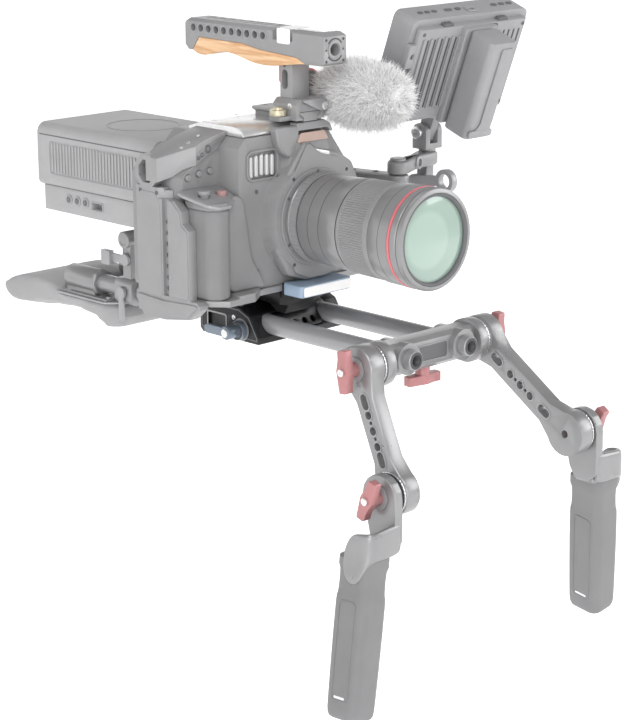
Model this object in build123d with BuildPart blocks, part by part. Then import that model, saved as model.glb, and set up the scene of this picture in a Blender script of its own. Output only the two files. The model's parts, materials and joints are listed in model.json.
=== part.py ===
from build123d import *
import os
from math import atan2, cos, degrees, radians, sin

os.makedirs("parts", exist_ok=True)

# ---------------------------------------------------------------------------
# Shoulder-mounted cinema camera rig, in millimetres.
# +Z is up, the lens looks along -Y and -X is the operator's right-hand side.
# The origin is the mouth of the tripod socket under the middle of the baseplate.
# ---------------------------------------------------------------------------

# Rail system (15 mm lightweight standard: rods 60 mm apart, lens 85 mm above them)
ROD_R = 7.5
ROD_BORE_R = 5.5
ROD_X = 30.0
ROD_Z = 13.0
ROD_FRONT_Y = -185.0
ROD_REAR_Y = 215.0
LENS_Z = ROD_Z + 85.0
FIT = 0.05
GAP = 0.4

# Baseplate and release plate
BASE_HALF_X = 47.0
BASE_HALF_Y = 32.0
BASE_TOP = 26.0
DOVETAIL_HALF_X = 19.0
DOVETAIL_FLOOR = 20.0
THREE_EIGHTHS_R = 4.76
QUARTER_R = 3.175

# Handlebar, arms and hand grips
BAR_HALF_X = 55.0
PIVOT_Y = -164.0
PIVOT_Z = 11.0
HEAD_R = 17.0
ROSETTE_R = 15.9
ROSETTE_T = 2.2
ARM_T = 13.0
RIGHT_ARM_LENGTH = 94.0
LEFT_ARM_LENGTH = 107.0
RIGHT_ARM_ANGLE = 23.0
LEFT_ARM_ANGLE = 56.5
BRACKET_T = 8.0
RIGHT_GRIP_TILT = -3.5
LEFT_GRIP_TILT = 8.5
GRIP_SPLAY = 11.0
GRIP_LENGTH = 116.0
GRIP_OUT = 21.4
WING_HALF = 16.5
SCREW_R = 3.0

ARM_ROSETTE_X = BAR_HALF_X + ROSETTE_T + GAP
ARM_X = ARM_ROSETTE_X + ROSETTE_T
ARM_OUT_X = ARM_X + ARM_T
BRACKET_ROSETTE_X = ARM_OUT_X + ROSETTE_T + GAP
BRACKET_X = BRACKET_ROSETTE_X + ROSETTE_T
BRACKET_OUT_X = BRACKET_X + BRACKET_T

# Camera, cage and lens
BODY_FRONT_Y = -35.0
BODY_REAR_Y = 47.0
BODY_RIGHT_X = -104.0
BODY_LEFT_X = 62.0
BODY_BOTTOM = 46.0
BODY_TOP = 168.0
CAGE_BOTTOM = 41.0
CAGE_TOP = 172.0
CAGE_FLOOR_T = 4.6
MOUNT_FRONT_Y = -51.0
LENS_FRONT_Y = -176.0
LENS_R = 38.7

SHOULDER_Y = -12.0
FUNCTION_BUTTONS = ((-99, 136), (-88, 138), (-77, 139))
FUNCTION_R = 2.5
RECORD_X = -78.5
DIAL_X = -96.0
CONTROL_Y = -27.0

# Top handle on its rail
RAIL_TOP = 179.0
CLAMP_FRONT_Y = -43.0
CLAMP_REAR_Y = -17.0
CLAMP_TOP = 189.0
NECK_Y = -24.0
HANDLE_FRONT_Y = -70.0
HANDLE_REAR_Y = 88.0
HANDLE_BOTTOM = 217.0
HANDLE_TOP = 242.0

PIN_X = -22.0

# Microphone and monitor
MIC_X = 41.0
MIC_Y = -60.0
MIC_Z = 190.0
MIC_TILT_Z = 190.0
ARM_BASE = (88.0, -52.0)
ARM_BASE_Z = 108.0
LINK_BOTTOM = ARM_BASE_Z + 12.4
LINK_T = 11.0
RING_LEVER_Y = -36.0
RING_LEVER_Z = 107.0
MONITOR_POST = (137.0, -38.0)
TILT_Z = 148.0
MONITOR_TILT = 20.5
MONITOR_W = 134.0
MONITOR_H = 90.0
MONITOR_D = 22.0

# Battery and shoulder pad
TUBE_Y = 139.0
TUBE_Z = 57.0
FLAG_Z = 40.0
BATTERY_FRONT_Y = 85.0
BATTERY_LENGTH = 150.0
BATTERY_BOTTOM = 93.0
BATTERY_TOP = 146.0
PLATE_BOTTOM = 72.0


LENS_AXIS = Axis((0, 0, LENS_Z), (0, 1, 0))


def save(builder, label):
    builder.part.label = label
    export_step(builder.part, "parts/" + label + ".step")


def side_plane(x, y, z, side=1, direction=(0, 1, 0)):
    """A plane that looks along X, outwards on the given side."""
    return Plane(origin=(x * side, y, z), x_dir=direction, z_dir=(side, 0, 0))


def front_plane(x, y, z):
    """A plane that looks forwards, along -Y, with its own y up."""
    return Plane(origin=(x, y, z), x_dir=(1, 0, 0), z_dir=(0, -1, 0))


def arm_end(angle, length):
    """Y and Z of the lower pivot of an arm that leans forwards by this angle."""
    lean = radians(angle)
    return PIVOT_Y - length * sin(lean), PIVOT_Z - length * cos(lean)


# ------------------------------------------------------------ rods and base
with BuildPart() as rods:
    with BuildSketch(front_plane(0, ROD_REAR_Y, ROD_Z)):
        with Locations((-ROD_X, 0), (ROD_X, 0)):
            Circle(ROD_R)
            Circle(ROD_BORE_R, mode=Mode.SUBTRACT)
    extrude(amount=ROD_REAR_Y - ROD_FRONT_Y)
    chamfer(rods.edges().filter_by(GeomType.CIRCLE).group_by(SortBy.RADIUS)[-1], 0.6)
save(rods, "rods")

with BuildPart() as baseplate:
    with BuildSketch(side_plane(-BASE_HALF_X, 0, 0)):
        with BuildLine():
            Polyline((-BASE_HALF_Y, 0), (-BASE_HALF_Y, 5), (-22, 21), (-10, BASE_TOP),
                     (28, BASE_TOP), (36, 20), (36, 3), (33, 0), close=True)
        make_face()
    extrude(amount=2 * BASE_HALF_X)
    # channel for the release plate, with its undercut dovetail sides
    with BuildSketch(front_plane(0, 40, 0)):
        with BuildLine():
            Polyline((-DOVETAIL_HALF_X, DOVETAIL_FLOOR), (DOVETAIL_HALF_X, DOVETAIL_FLOOR),
                     (DOVETAIL_HALF_X - 3.5, BASE_TOP + 1), (3.5 - DOVETAIL_HALF_X, BASE_TOP + 1),
                     close=True)
        make_face()
    extrude(amount=80, mode=Mode.SUBTRACT)
    # front bay between the rods, where the clamp jaw sits
    with Locations((0, -26, 13)):
        Box(46, 16, 16, mode=Mode.SUBTRACT)
    # rod bores and the slits that let them close on the rods
    with BuildSketch(front_plane(0, 40, ROD_Z)):
        with Locations((-ROD_X, 0), (ROD_X, 0)):
            Circle(ROD_R)
        with Locations((-ROD_X - 4, 4), (ROD_X + 4, 4)):
            Rectangle(1.2, 18, rotation=0)
    extrude(amount=80, mode=Mode.SUBTRACT)
    # side recess on the operator's right, and the socket of the lock lever
    with Locations((-BASE_HALF_X, 16, 12)):
        Box(5, 22, 12, mode=Mode.SUBTRACT)
    with BuildSketch(side_plane(BASE_HALF_X, -12, 9, -1)):
        Circle(SCREW_R + FIT)
    extrude(amount=-8, mode=Mode.SUBTRACT)
    # tripod sockets underneath: one 3/8-16 at the origin and two 1/4-20
    with BuildSketch(Plane.XY):
        Circle(THREE_EIGHTHS_R)
        with Locations((-14, 0), (14, 0)):
            Circle(QUARTER_R)
    extrude(amount=8, mode=Mode.SUBTRACT)
save(baseplate, "baseplate")

with BuildPart() as clamp_jaw:
    with BuildSketch(side_plane(-22.5, 0, 0)):
        with BuildLine():
            Polyline((-31, 5.2), (-31, 9), (-24, 18.5), (-18.2, 19), (-18.2, 5.2), close=True)
        make_face()
    extrude(amount=45)
    with BuildSketch(front_plane(0, -18, 10.5)):
        with Locations((-14, 0), (-5, 0), (5, 0), (14, 0)):
            Circle(2.4)
    extrude(amount=16, mode=Mode.SUBTRACT)
save(clamp_jaw, "clamp_jaw")

with BuildPart() as lock_lever:
    with BuildSketch(side_plane(BASE_HALF_X - 7, -12, 9, -1)):
        Circle(SCREW_R)
    extrude(amount=8)
    with BuildSketch(side_plane(BASE_HALF_X + GAP, -12, 9, -1)):
        Circle(7.5)
    extrude(amount=5)
    with BuildSketch(side_plane(BASE_HALF_X + 5, -12, 9, -1)):
        Circle(5)
    extrude(amount=12)
    with BuildSketch(side_plane(BASE_HALF_X + 9, -12, 9, -1)):
        Circle(5.4)
        with Locations((11, 0)):
            Rectangle(22, 7)
        with Locations((22, 0)):
            Circle(3.5)
    extrude(amount=7)
save(lock_lever, "rod_lock_lever")

# ------------------------------------------------------------ release plate
with BuildPart() as release_plate:
    with BuildSketch(front_plane(0, 34, 0)):
        with BuildLine():
            Polyline((-DOVETAIL_HALF_X + GAP, DOVETAIL_FLOOR + GAP),
                     (DOVETAIL_HALF_X - GAP, DOVETAIL_FLOOR + GAP),
                     (DOVETAIL_HALF_X - 3.5 - GAP, BASE_TOP + GAP),
                     (24, BASE_TOP + GAP + 2), (24, CAGE_BOTTOM), (-24, CAGE_BOTTOM),
                     (-24, BASE_TOP + GAP + 2), (3.5 + GAP - DOVETAIL_HALF_X, BASE_TOP + GAP),
                     close=True)
        make_face()
    extrude(amount=66)
    # nose in front of the cage floor, stepped up from the plate
    with Locations((0, -38, 37.2)):
        Box(44, 16, 7)
    with Locations((0, -49.7, 43)):
        Box(54, 22.6, 9)
    fillet(release_plate.edges().filter_by(Axis.Z).group_by(Axis.Y)[0], 4)
    with BuildSketch(Plane.XY.offset(DOVETAIL_FLOOR)):
        with Locations((0, -14), (0, 14)):
            Circle(QUARTER_R)
    extrude(amount=30, mode=Mode.SUBTRACT)
save(release_plate, "release_plate")

# ------------------------------------------------------------ camera body
with BuildPart() as camera_body:
    with BuildSketch(front_plane(0, BODY_REAR_Y, 0)):
        with BuildLine():
            Polyline((BODY_RIGHT_X, BODY_BOTTOM), (BODY_RIGHT_X, 136), (-99, 141), (-84, 149),
                     (-70, 155), (-61, BODY_TOP - 4), (20, BODY_TOP - 4), (28, 160), (56, 122),
                     (BODY_LEFT_X, 112), (BODY_LEFT_X, BODY_BOTTOM), close=True)
        make_face()
    extrude(amount=BODY_REAR_Y - BODY_FRONT_Y)
    fillet(camera_body.edges().filter_by(Axis.Y), 4)
    # viewfinder hump above the mount
    with BuildSketch(front_plane(0, BODY_FRONT_Y + 2, 0)):
        with BuildLine():
            Polyline((-28, 128), (-17, 164), (18, 164), (30, 128), close=True)
        make_face()
    extrude(amount=9, taper=12)
    # round housing of the lens mount
    with BuildSketch(front_plane(0, BODY_FRONT_Y + 1, LENS_Z)):
        Circle(47)
    extrude(amount=15, taper=14)
    # light path through the mount into the hollow body
    with BuildSketch(front_plane(0, -10, LENS_Z)):
        Circle(24)
    extrude(amount=60, mode=Mode.SUBTRACT)
    with Locations((-5, 4, 98)):
        Box(118, 62, 80, mode=Mode.SUBTRACT)
    # rear recess of the display, and the pocket of the vent grille
    with Locations((-18, BODY_REAR_Y, 103)):
        Box(122, 8, 74, mode=Mode.SUBTRACT)
    with Locations((-43.5, BODY_FRONT_Y, 142)):
        Box(30, 8, 21, mode=Mode.SUBTRACT)
    # room for the grip, and the set-back shoulder above it
    with Locations((-98, -32, 85)):
        Box(30, 44, 80, mode=Mode.SUBTRACT)
    with Locations((-90, -30, 142)):
        Box(44, 36, 51.6, mode=Mode.SUBTRACT)
    # guides of the function buttons
    with BuildSketch(front_plane(0, SHOULDER_Y, 0)):
        with Locations(FUNCTION_BUTTONS):
            Circle(FUNCTION_R + 0.3)
    extrude(amount=-5, mode=Mode.SUBTRACT)
save(camera_body, "camera_body")

with BuildPart() as camera_grip:
    with BuildSketch(Plane.XY.offset(BODY_BOTTOM)):
        with BuildLine():
            Polyline((-104, -10.2), (-105, -24), (-104, -38), (-98, -46), (-90, -47), (-85, -43),
                     (-83.2, -36), (-83.2, -10.2), close=True)
        make_face()
    extrude(amount=77)
    # sloping top that carries the controls, level with the shoulder behind it
    with BuildSketch(side_plane(-104, 0, 0)):
        with BuildLine():
            Polyline((-60, 100), (-60, 116.5), (-47, 117.5), (-12.4, 127), (-12.4, 140), (0, 140),
                     (0, 170), (-70, 170), (-70, 100), close=True)
        make_face()
    extrude(amount=60, both=True, mode=Mode.SUBTRACT)
    with BuildSketch(side_plane(-104, 0, 0)):
        with BuildLine():
            Polyline((-36, 118), (-44, 118.3), (-12.4, 127), (-12.4, 122), close=True)
        make_face()
    extrude(amount=35.6)
    with BuildSketch(Plane.XY.offset(135)):
        with Locations((RECORD_X, CONTROL_Y)):
            Circle(4.3)
        with Locations((DIAL_X, CONTROL_Y)):
            Circle(3.9)
    extrude(amount=-25, mode=Mode.SUBTRACT)
save(camera_grip, "camera_grip")

with BuildPart() as record_button:
    with BuildSketch(Plane.XY.offset(118.4)):
        with Locations((RECORD_X, CONTROL_Y)):
            Circle(3.9)
    extrude(amount=7.6)
    fillet(record_button.faces().sort_by(Axis.Z)[-1].edges(), 1)
save(record_button, "record_button")

with BuildPart() as power_dial:
    with BuildSketch(Plane.XY.offset(116)):
        with Locations((DIAL_X, CONTROL_Y)):
            Circle(3.5)
    extrude(amount=9.2)
    with BuildSketch(Plane.XY.offset(125)):
        with Locations((DIAL_X, CONTROL_Y)):
            Circle(4.6)
    extrude(amount=3)
save(power_dial, "power_dial")

for index, spot in enumerate(FUNCTION_BUTTONS):
    with BuildPart() as function_button:
        with BuildSketch(front_plane(0, SHOULDER_Y + 3.6, 0)):
            with Locations(spot):
                Circle(FUNCTION_R)
        extrude(amount=5.4)
        fillet(function_button.faces().sort_by(Axis.Y)[0].edges(), 0.8)
    save(function_button, "function_button_" + str(index + 1))

with BuildPart() as display:
    with Locations((-18, BODY_REAR_Y - 1.4, 103)):
        Box(121, 5, 73)
    fillet(display.edges().filter_by(Axis.Y), 3)
save(display, "rear_display")

with BuildPart() as sensor:
    with Locations((0, -8.5, LENS_Z)):
        Box(30, 3, 24)
    with Locations((0, -5.5, LENS_Z)):
        Box(62, 3, 52)
save(sensor, "image_sensor")

with BuildPart() as lens_mount:
    with BuildSketch(front_plane(0, -49, LENS_Z)):
        Circle(38.5)
        Circle(25, mode=Mode.SUBTRACT)
    extrude(amount=2)
    with BuildSketch(front_plane(0, -51, LENS_Z)):
        with PolarLocations(36.3, 6):
            Circle(1.4)
    extrude(amount=-1.2, mode=Mode.SUBTRACT)
save(lens_mount, "lens_mount")

# ------------------------------------------------------------ lens
with BuildPart() as lens_barrel:
    with BuildSketch(side_plane(0, 0, LENS_Z)):
        with BuildLine():
            Polyline((-51.2, 35), (-51.2, 24), (-60, 22), (-165, 26), (-165, 33.4), (-173, 35.8),
                     (LENS_FRONT_Y, 36.4), (LENS_FRONT_Y, LENS_R), (-172.5, LENS_R), (-172, 38),
                     (-169, 38), (-168.5, LENS_R), (-141.5, 38.2), (-141, 34.4), (-106, 34.4),
                     (-105.5, 36.8), (-84, 33.8), (-82, 33.3), (-63.8, 33.3), (-63.5, 31.4),
                     (-55, 31.4), (-54.6, 34.6), close=True)
        make_face()
    revolve(axis=LENS_AXIS)
save(lens_barrel, "lens_barrel")

with BuildPart() as focus_ring:
    with BuildSketch(side_plane(0, 0, LENS_Z)):
        with BuildLine():
            Polyline((-140.6, 34.7), (-140.6, 37.6), (-106.4, 36.6), (-106.4, 34.7), close=True)
        make_face()
    revolve(axis=LENS_AXIS)
save(focus_ring, "focus_ring")

with BuildPart() as control_ring:
    with BuildSketch(side_plane(0, 0, LENS_Z)):
        with BuildLine():
            Polyline((-63.1, 31.7), (-63.1, 34.6), (-55.4, 34.6), (-55.4, 31.7), close=True)
        make_face()
    revolve(axis=LENS_AXIS)
save(control_ring, "control_ring")

glass_elements = []
for back, radius, curve in ((-165.05, 33.2, 96), (-118, 24.15, 70), (-73, 22.45, 70)):
    with BuildPart() as element:
        with BuildSketch(front_plane(0, back, LENS_Z)):
            Circle(radius)
        extrude(amount=7)
        with Locations((0, back - 7 + curve, LENS_Z)):
            Sphere(curve, mode=Mode.INTERSECT)
    glass_elements.append(element.part)

with BuildPart() as lens_glass:
    add(glass_elements)
save(lens_glass, "lens_glass")

# ------------------------------------------------------------ cage
with BuildPart() as cage_floor:
    with BuildSketch(Plane.XY.offset(CAGE_BOTTOM)):
        with BuildLine():
            Polyline((-104, -36), (-92, -50), (-66, -50), (-50, -38), (58, -38), (70, -28), (70, 40),
                     (-104, 40), close=True)
        make_face()
    extrude(amount=CAGE_FLOOR_T)
    # raised front lip beside the grip
    with BuildSketch(Plane.XY.offset(CAGE_BOTTOM)):
        with BuildLine():
            Polyline((-82, -50), (-66, -50), (-50, -38), (-48, -35.6), (-82, -35.6), close=True)
        make_face()
    extrude(amount=7)
    # screw holes towards the release plate and lightening slots
    with BuildSketch(Plane.XY.offset(CAGE_BOTTOM)):
        with Locations((0, -14), (0, 14), (50, -14), (50, 14), (-60, 14)):
            Circle(QUARTER_R)
        with Locations((32, 0), (-32, 0), (-84, 0)):
            SlotOverall(40, 9, rotation=90)
    extrude(amount=CAGE_FLOOR_T, mode=Mode.SUBTRACT)
save(cage_floor, "cage_floor")

with BuildPart() as cage_right:
    # flat post, its set-back strip of holes and the bevelled flange beside the grip
    with BuildSketch(side_plane(-113, 0, 0)):
        with BuildLine():
            Polyline((32, 30), (32, 128), (4, 128), (2, 120), (2, 30), close=True)
        make_face()
    extrude(amount=8.6)
    with BuildSketch(side_plane(-110, 0, 0)):
        with BuildLine():
            Polyline((3, 30), (3, 126), (-6, 126), (-6, 30), close=True)
        make_face()
    extrude(amount=5.6)
    with BuildSketch(side_plane(-113, 0, 0)):
        with BuildLine():
            Polyline((-4, 32), (-4, 124), (-10, 122), (-20, 113), (-21, 104), (-28, 99), (-28, 32),
                     close=True)
        make_face()
    extrude(amount=7.4)
    # lower corner block under the grip
    with BuildSketch(side_plane(-113, 0, 0)):
        with BuildLine():
            Polyline((-39, 40), (-28, 31), (1, 26.5), (26, 26), (34, 38), (34, 45.4), (-36, 45.4),
                     (-39, 43), close=True)
        make_face()
    extrude(amount=8.6)
    # eight-sided eye behind the upper corner
    with BuildSketch(side_plane(-113, 20, 139)):
        RegularPolygon(13.8, 8, rotation=22.5)
        RegularPolygon(9.4, 8, rotation=22.5, mode=Mode.SUBTRACT)
    extrude(amount=8.6)
    # arch that rises from the eye towards the top cover
    with BuildSketch(front_plane(0, 20, 0)):
        with BuildLine():
            Polyline((-113, 140), (-113, 150), (-104, 154), (-86, 162), (-72, 166), (-61.5, 168), (-61.5, 164.6),
                     (-70, 155.6), (-84, 149.5), (-99, 141.6), (-104.4, 136.4), (-113, 132), close=True)
        make_face()
    extrude(amount=34)
    with BuildSketch(Plane.XY.offset(120)):
        with BuildLine():
            Polyline((-120, 9), (-113, 7.4), (-92, -14.2), (-92, -20), (-120, -20), close=True)
        make_face()
    extrude(amount=50, mode=Mode.SUBTRACT)
    # row of accessory holes down the set-back strip
    with BuildSketch(side_plane(-111, 0, 0)):
        with Locations([(-1, 51 + 8.6 * step) for step in range(7)]):
            Circle(1.9)
    extrude(amount=7, mode=Mode.SUBTRACT)
    with BuildSketch(front_plane(0, -14, 0)):
        with Locations((-71.5, 160.6), (-66, 162)):
            Circle(1.6)
    extrude(amount=-8, mode=Mode.SUBTRACT)
save(cage_right, "cage_right")

with BuildPart() as cage_left:
    with BuildSketch(front_plane(0, 12, 0)):
        with BuildLine():
            Polyline((70.4, CAGE_BOTTOM + 4.8), (70.4, 116), (32, 168), (28, 172), (20, 172), (20, 165),
                     (29, 161.5), (57.5, 123), (62.4, 113), (62.4, CAGE_BOTTOM + 4.8), close=True)
        make_face()
    extrude(amount=34)
    with BuildSketch(side_plane(62, 0, 0)):
        with Locations((-12, 64), (-12, 98), (0, 64), (0, 98)):
            Circle(QUARTER_R)
        with Locations((-6, 81)):
            SlotOverall(22, 9, rotation=90)
    extrude(amount=10, mode=Mode.SUBTRACT)
save(cage_left, "cage_left")

with BuildPart() as top_cover:
    with BuildSketch(side_plane(-61, 0, 0)):
        with BuildLine():
            Polyline((30, 164.2), (-33, 164.2), (-34, 165.5), (-32, 168.5), (-27, 171), (-20, CAGE_TOP),
                     (14, CAGE_TOP), (30, 167), close=True)
        make_face()
    extrude(amount=80.5)
save(top_cover, "top_cover")

with BuildPart() as nato_rail:
    with BuildSketch(front_plane(0, 12, 0)):
        with BuildLine():
            Polyline((-7, CAGE_TOP), (-7, 175), (-10.5, 177), (-10.5, RAIL_TOP), (10.5, RAIL_TOP),
                     (10.5, 177), (7, 175), (7, CAGE_TOP), close=True)
        make_face()
    extrude(amount=55)
    with BuildSketch(Plane.XY.offset(RAIL_TOP)):
        with Locations((0, -39), (0, 8)):
            Circle(1.6)
    extrude(amount=-3, mode=Mode.SUBTRACT)
save(nato_rail, "nato_rail")

# ------------------------------------------------------------ top handle
with BuildPart() as handle_clamp:
    with Locations((0, (CLAMP_FRONT_Y + CLAMP_REAR_Y) / 2, 181)):
        Box(30, CLAMP_REAR_Y - CLAMP_FRONT_Y, 16)
    chamfer(handle_clamp.edges().filter_by(Axis.Y).group_by(Axis.Z)[-1], 4)
    # neck up to the handle, with its round-ended opening
    with BuildSketch(Plane.XY.offset(CLAMP_TOP - 1)):
        with Locations((0, NECK_Y)):
            Rectangle(18, 17)
    extrude(amount=HANDLE_BOTTOM - CLAMP_TOP + 3)
    chamfer(handle_clamp.edges().filter_by(Axis.Z).group_by(SortBy.LENGTH)[-1], 3.5)
    with BuildSketch(side_plane(-15, NECK_Y, 203)):
        SlotOverall(15, 6.4, rotation=90)
    extrude(amount=30, mode=Mode.SUBTRACT)
    # channel that grips the rail
    with BuildSketch(front_plane(0, 0, 0)):
        with BuildLine():
            Polyline((-7.4, 172), (-7.4, 174.8), (-10.9, 176.8), (-10.9, RAIL_TOP + 0.4),
                     (10.9, RAIL_TOP + 0.4), (10.9, 176.8), (7.4, 174.8), (7.4, 172), close=True)
        make_face()
    extrude(amount=60, mode=Mode.SUBTRACT)
    # lug of the rail pin, and the bore of the lever's screw
    with Locations((-20, -30, 174.8)):
        Box(11, 12, 3.6)
    with BuildSketch(Plane.XY.offset(173)):
        with Locations((PIN_X, -30)):
            Circle(2.35)
    extrude(amount=4, mode=Mode.SUBTRACT)
    with BuildSketch(front_plane(12, CLAMP_FRONT_Y, 183)):
        Circle(1.55)
    extrude(amount=-8, mode=Mode.SUBTRACT)
save(handle_clamp, "handle_clamp")

with BuildPart() as rail_pin:
    with BuildSketch(Plane.XY.offset(173.2)):
        with Locations((PIN_X, -30)):
            Circle(2.3)
    extrude(amount=4)
    with BuildSketch(Plane.XY.offset(177)):
        with Locations((PIN_X, -30)):
            Circle(6.4)
    extrude(amount=4.6)
    with BuildSketch(Plane.XY.offset(181.6)):
        with Locations((PIN_X, -30)):
            Circle(4)
    extrude(amount=2.4)
    fillet(rail_pin.faces().sort_by(Axis.Z)[-1].edges(), 1.6)
save(rail_pin, "rail_pin")

with BuildPart() as handle_lever:
    with BuildSketch(front_plane(12, CLAMP_FRONT_Y + 7, 183)):
        Circle(1.5)
    extrude(amount=8)
    with BuildSketch(front_plane(0, CLAMP_FRONT_Y - GAP, 0)):
        with BuildLine():
            Polyline((-9, 189), (-9, 187), (4, 181), (8, 179.6), (14, 179.6), (15, 182), (13, 189),
                     close=True)
        make_face()
    extrude(amount=3.4)
save(handle_lever, "handle_lever")

with BuildPart() as handle_body:
    with BuildSketch(side_plane(-12, 0, 0)):
        with BuildLine():
            Polyline((HANDLE_FRONT_Y, 219), (HANDLE_FRONT_Y, 239), (-66, HANDLE_TOP), (-36, HANDLE_TOP),
                     (-36, 233), (-14, 233), (-14, HANDLE_TOP), (84, HANDLE_TOP), (HANDLE_REAR_Y, 238),
                     (HANDLE_REAR_Y, 221), (84, HANDLE_BOTTOM), (80, HANDLE_BOTTOM), (72, 228), (20, 227),
                     (2, 224), (-40, 221.5), (-50, HANDLE_BOTTOM), (-67, HANDLE_BOTTOM), close=True)
        make_face()
    extrude(amount=24)
    chamfer(handle_body.edges().filter_by(Axis.Y).group_by(Axis.Z)[-1], 2.4)
    with BuildSketch(side_plane(-12, 0, 235)):
        with Locations([(78 - 9 * step, 0) for step in range(10)]):
            Circle(QUARTER_R - 0.2)
    extrude(amount=24, mode=Mode.SUBTRACT)
    with BuildSketch(Plane.XY.offset(HANDLE_TOP)):
        with Locations([(0, 70 - 11 * step) for step in range(8)]):
            SlotOverall(13, 5)
    extrude(amount=-3, mode=Mode.SUBTRACT)
    with BuildSketch(front_plane(0, HANDLE_FRONT_Y, 229)):
        Circle(THREE_EIGHTHS_R)
        with PolarLocations(9, 2):
            Circle(0.9)
    extrude(amount=-12, mode=Mode.SUBTRACT)
save(handle_body, "handle_body")

with BuildPart() as handle_wood:
    with BuildSketch(side_plane(-12, 0, 0)):
        with BuildLine():
            Polyline((-49.6, HANDLE_BOTTOM), (-40, 221.2), (2, 223.7), (20, 226.7), (71.8, 227.7),
                     (79.6, HANDLE_BOTTOM))
            Spline((79.6, HANDLE_BOTTOM), (62, 214.5), (48, 218), (30, 217.5), (8, 213), (-12, 212.5),
                   (-32, 215), (-49.6, HANDLE_BOTTOM))
        make_face()
    extrude(amount=24)
    with Locations((0, NECK_Y, 210)):
        Box(19, 18, 20, mode=Mode.SUBTRACT)
save(handle_wood, "handle_wood")

# ------------------------------------------------------------ microphone
MIC_AXIS = Axis((MIC_X, MIC_Y, MIC_Z), (0, 1, 0))

with BuildPart() as mic_post:
    with Locations((26, 4, CAGE_TOP + 2)):
        Box(12, 14, 4)
    with BuildSketch(Plane.XY.offset(CAGE_TOP + 3)):
        with Locations((24.6, 4)):
            RectangleRounded(6, 8, 2)
    extrude(amount=21)
    with BuildSketch(side_plane(21, 4, MIC_TILT_Z)):
        Circle(2.05)
    extrude(amount=8, mode=Mode.SUBTRACT)
save(mic_post, "mic_post")

with BuildPart() as mic_holder:
    with BuildSketch(front_plane(MIC_X, 8, MIC_Z)):
        Circle(13)
        Circle(10.2, mode=Mode.SUBTRACT)
    extrude(amount=8)
    with Locations((29.6, 4, MIC_TILT_Z)):
        Box(1.4, 8, 9)
    with BuildSketch(side_plane(20, 4, MIC_TILT_Z)):
        Circle(2)
    extrude(amount=9.4)
    with BuildSketch(side_plane(17.8, 4, MIC_TILT_Z)):
        Circle(4.4)
    extrude(amount=2.8)
save(mic_holder, "mic_holder")

with BuildPart() as mic_body:
    with BuildSketch(front_plane(MIC_X, 14, MIC_Z)):
        Circle(10.15)
    extrude(amount=112)
    fillet(mic_body.edges().filter_by(GeomType.CIRCLE), 1.5)
save(mic_body, "mic_body")

with BuildPart() as windscreen:
    with BuildSketch(side_plane(MIC_X, MIC_Y, MIC_Z)):
        Ellipse(49, 26)
        with Locations((0, -26)):
            Rectangle(100, 52, mode=Mode.SUBTRACT)
    revolve(axis=MIC_AXIS)
    with BuildSketch(front_plane(MIC_X, 10, MIC_Z)):
        Circle(10.5)
    extrude(amount=109, mode=Mode.SUBTRACT)
save(windscreen, "windscreen")

# ------------------------------------------------------------ monitor and its arm
with BuildPart() as arm_base:
    with BuildSketch(Plane.XY.offset(ARM_BASE_Z)):
        with BuildLine():
            Polyline((70.6, 8), (70.6, -20), (79, -52), (97, -52), (84, 4), (80, 8), close=True)
        make_face()
        with Locations(ARM_BASE):
            Circle(9)
    extrude(amount=12)
    with BuildSketch(Plane.XY.offset(ARM_BASE_Z + 11)):
        with Locations(ARM_BASE):
            Circle(4)
    extrude(amount=12)
save(arm_base, "arm_base")

with BuildPart() as arm_link:
    span = Vector(*MONITOR_POST) - Vector(*ARM_BASE)
    middle = (Vector(*MONITOR_POST) + Vector(*ARM_BASE)) / 2
    with BuildSketch(Plane.XY.offset(LINK_BOTTOM)):
        with Locations(middle):
            SlotCenterToCenter(span.length, 17, rotation=degrees(atan2(span.Y, span.X)))
        with Locations(ARM_BASE):
            Circle(4.05, mode=Mode.SUBTRACT)
    extrude(amount=LINK_T)
    # lug under the outer end for the ring lever's screw
    with Locations((137, -36, LINK_BOTTOM - 8)):
        Box(9, 11, 18)
    with BuildSketch(side_plane(132, RING_LEVER_Y, RING_LEVER_Z)):
        Circle(SCREW_R + FIT)
    extrude(amount=12, mode=Mode.SUBTRACT)
    # socket of the monitor's post
    with BuildSketch(Plane.XY.offset(LINK_BOTTOM + LINK_T)):
        with Locations(MONITOR_POST):
            Circle(4.05)
    extrude(amount=-8, mode=Mode.SUBTRACT)
save(arm_link, "arm_link")

with BuildPart() as ring_lever:
    with BuildSketch(side_plane(122.5, 0, 0)):
        with Locations((RING_LEVER_Y, RING_LEVER_Z)):
            Circle(6.5)
        with BuildLine():
            Polyline((RING_LEVER_Y, RING_LEVER_Z + 5), (RING_LEVER_Y, RING_LEVER_Z - 5), (-66, 108), (-66, 116),
                     close=True)
        make_face()
        with Locations((-70, 112)):
            Circle(9.5)
            Circle(5.8, mode=Mode.SUBTRACT)
    extrude(amount=6)
    with BuildSketch(side_plane(126, RING_LEVER_Y, RING_LEVER_Z)):
        Circle(5)
    extrude(amount=6)
    with BuildSketch(side_plane(130, RING_LEVER_Y, RING_LEVER_Z)):
        Circle(SCREW_R)
    extrude(amount=11)
save(ring_lever, "ring_lever")

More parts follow.
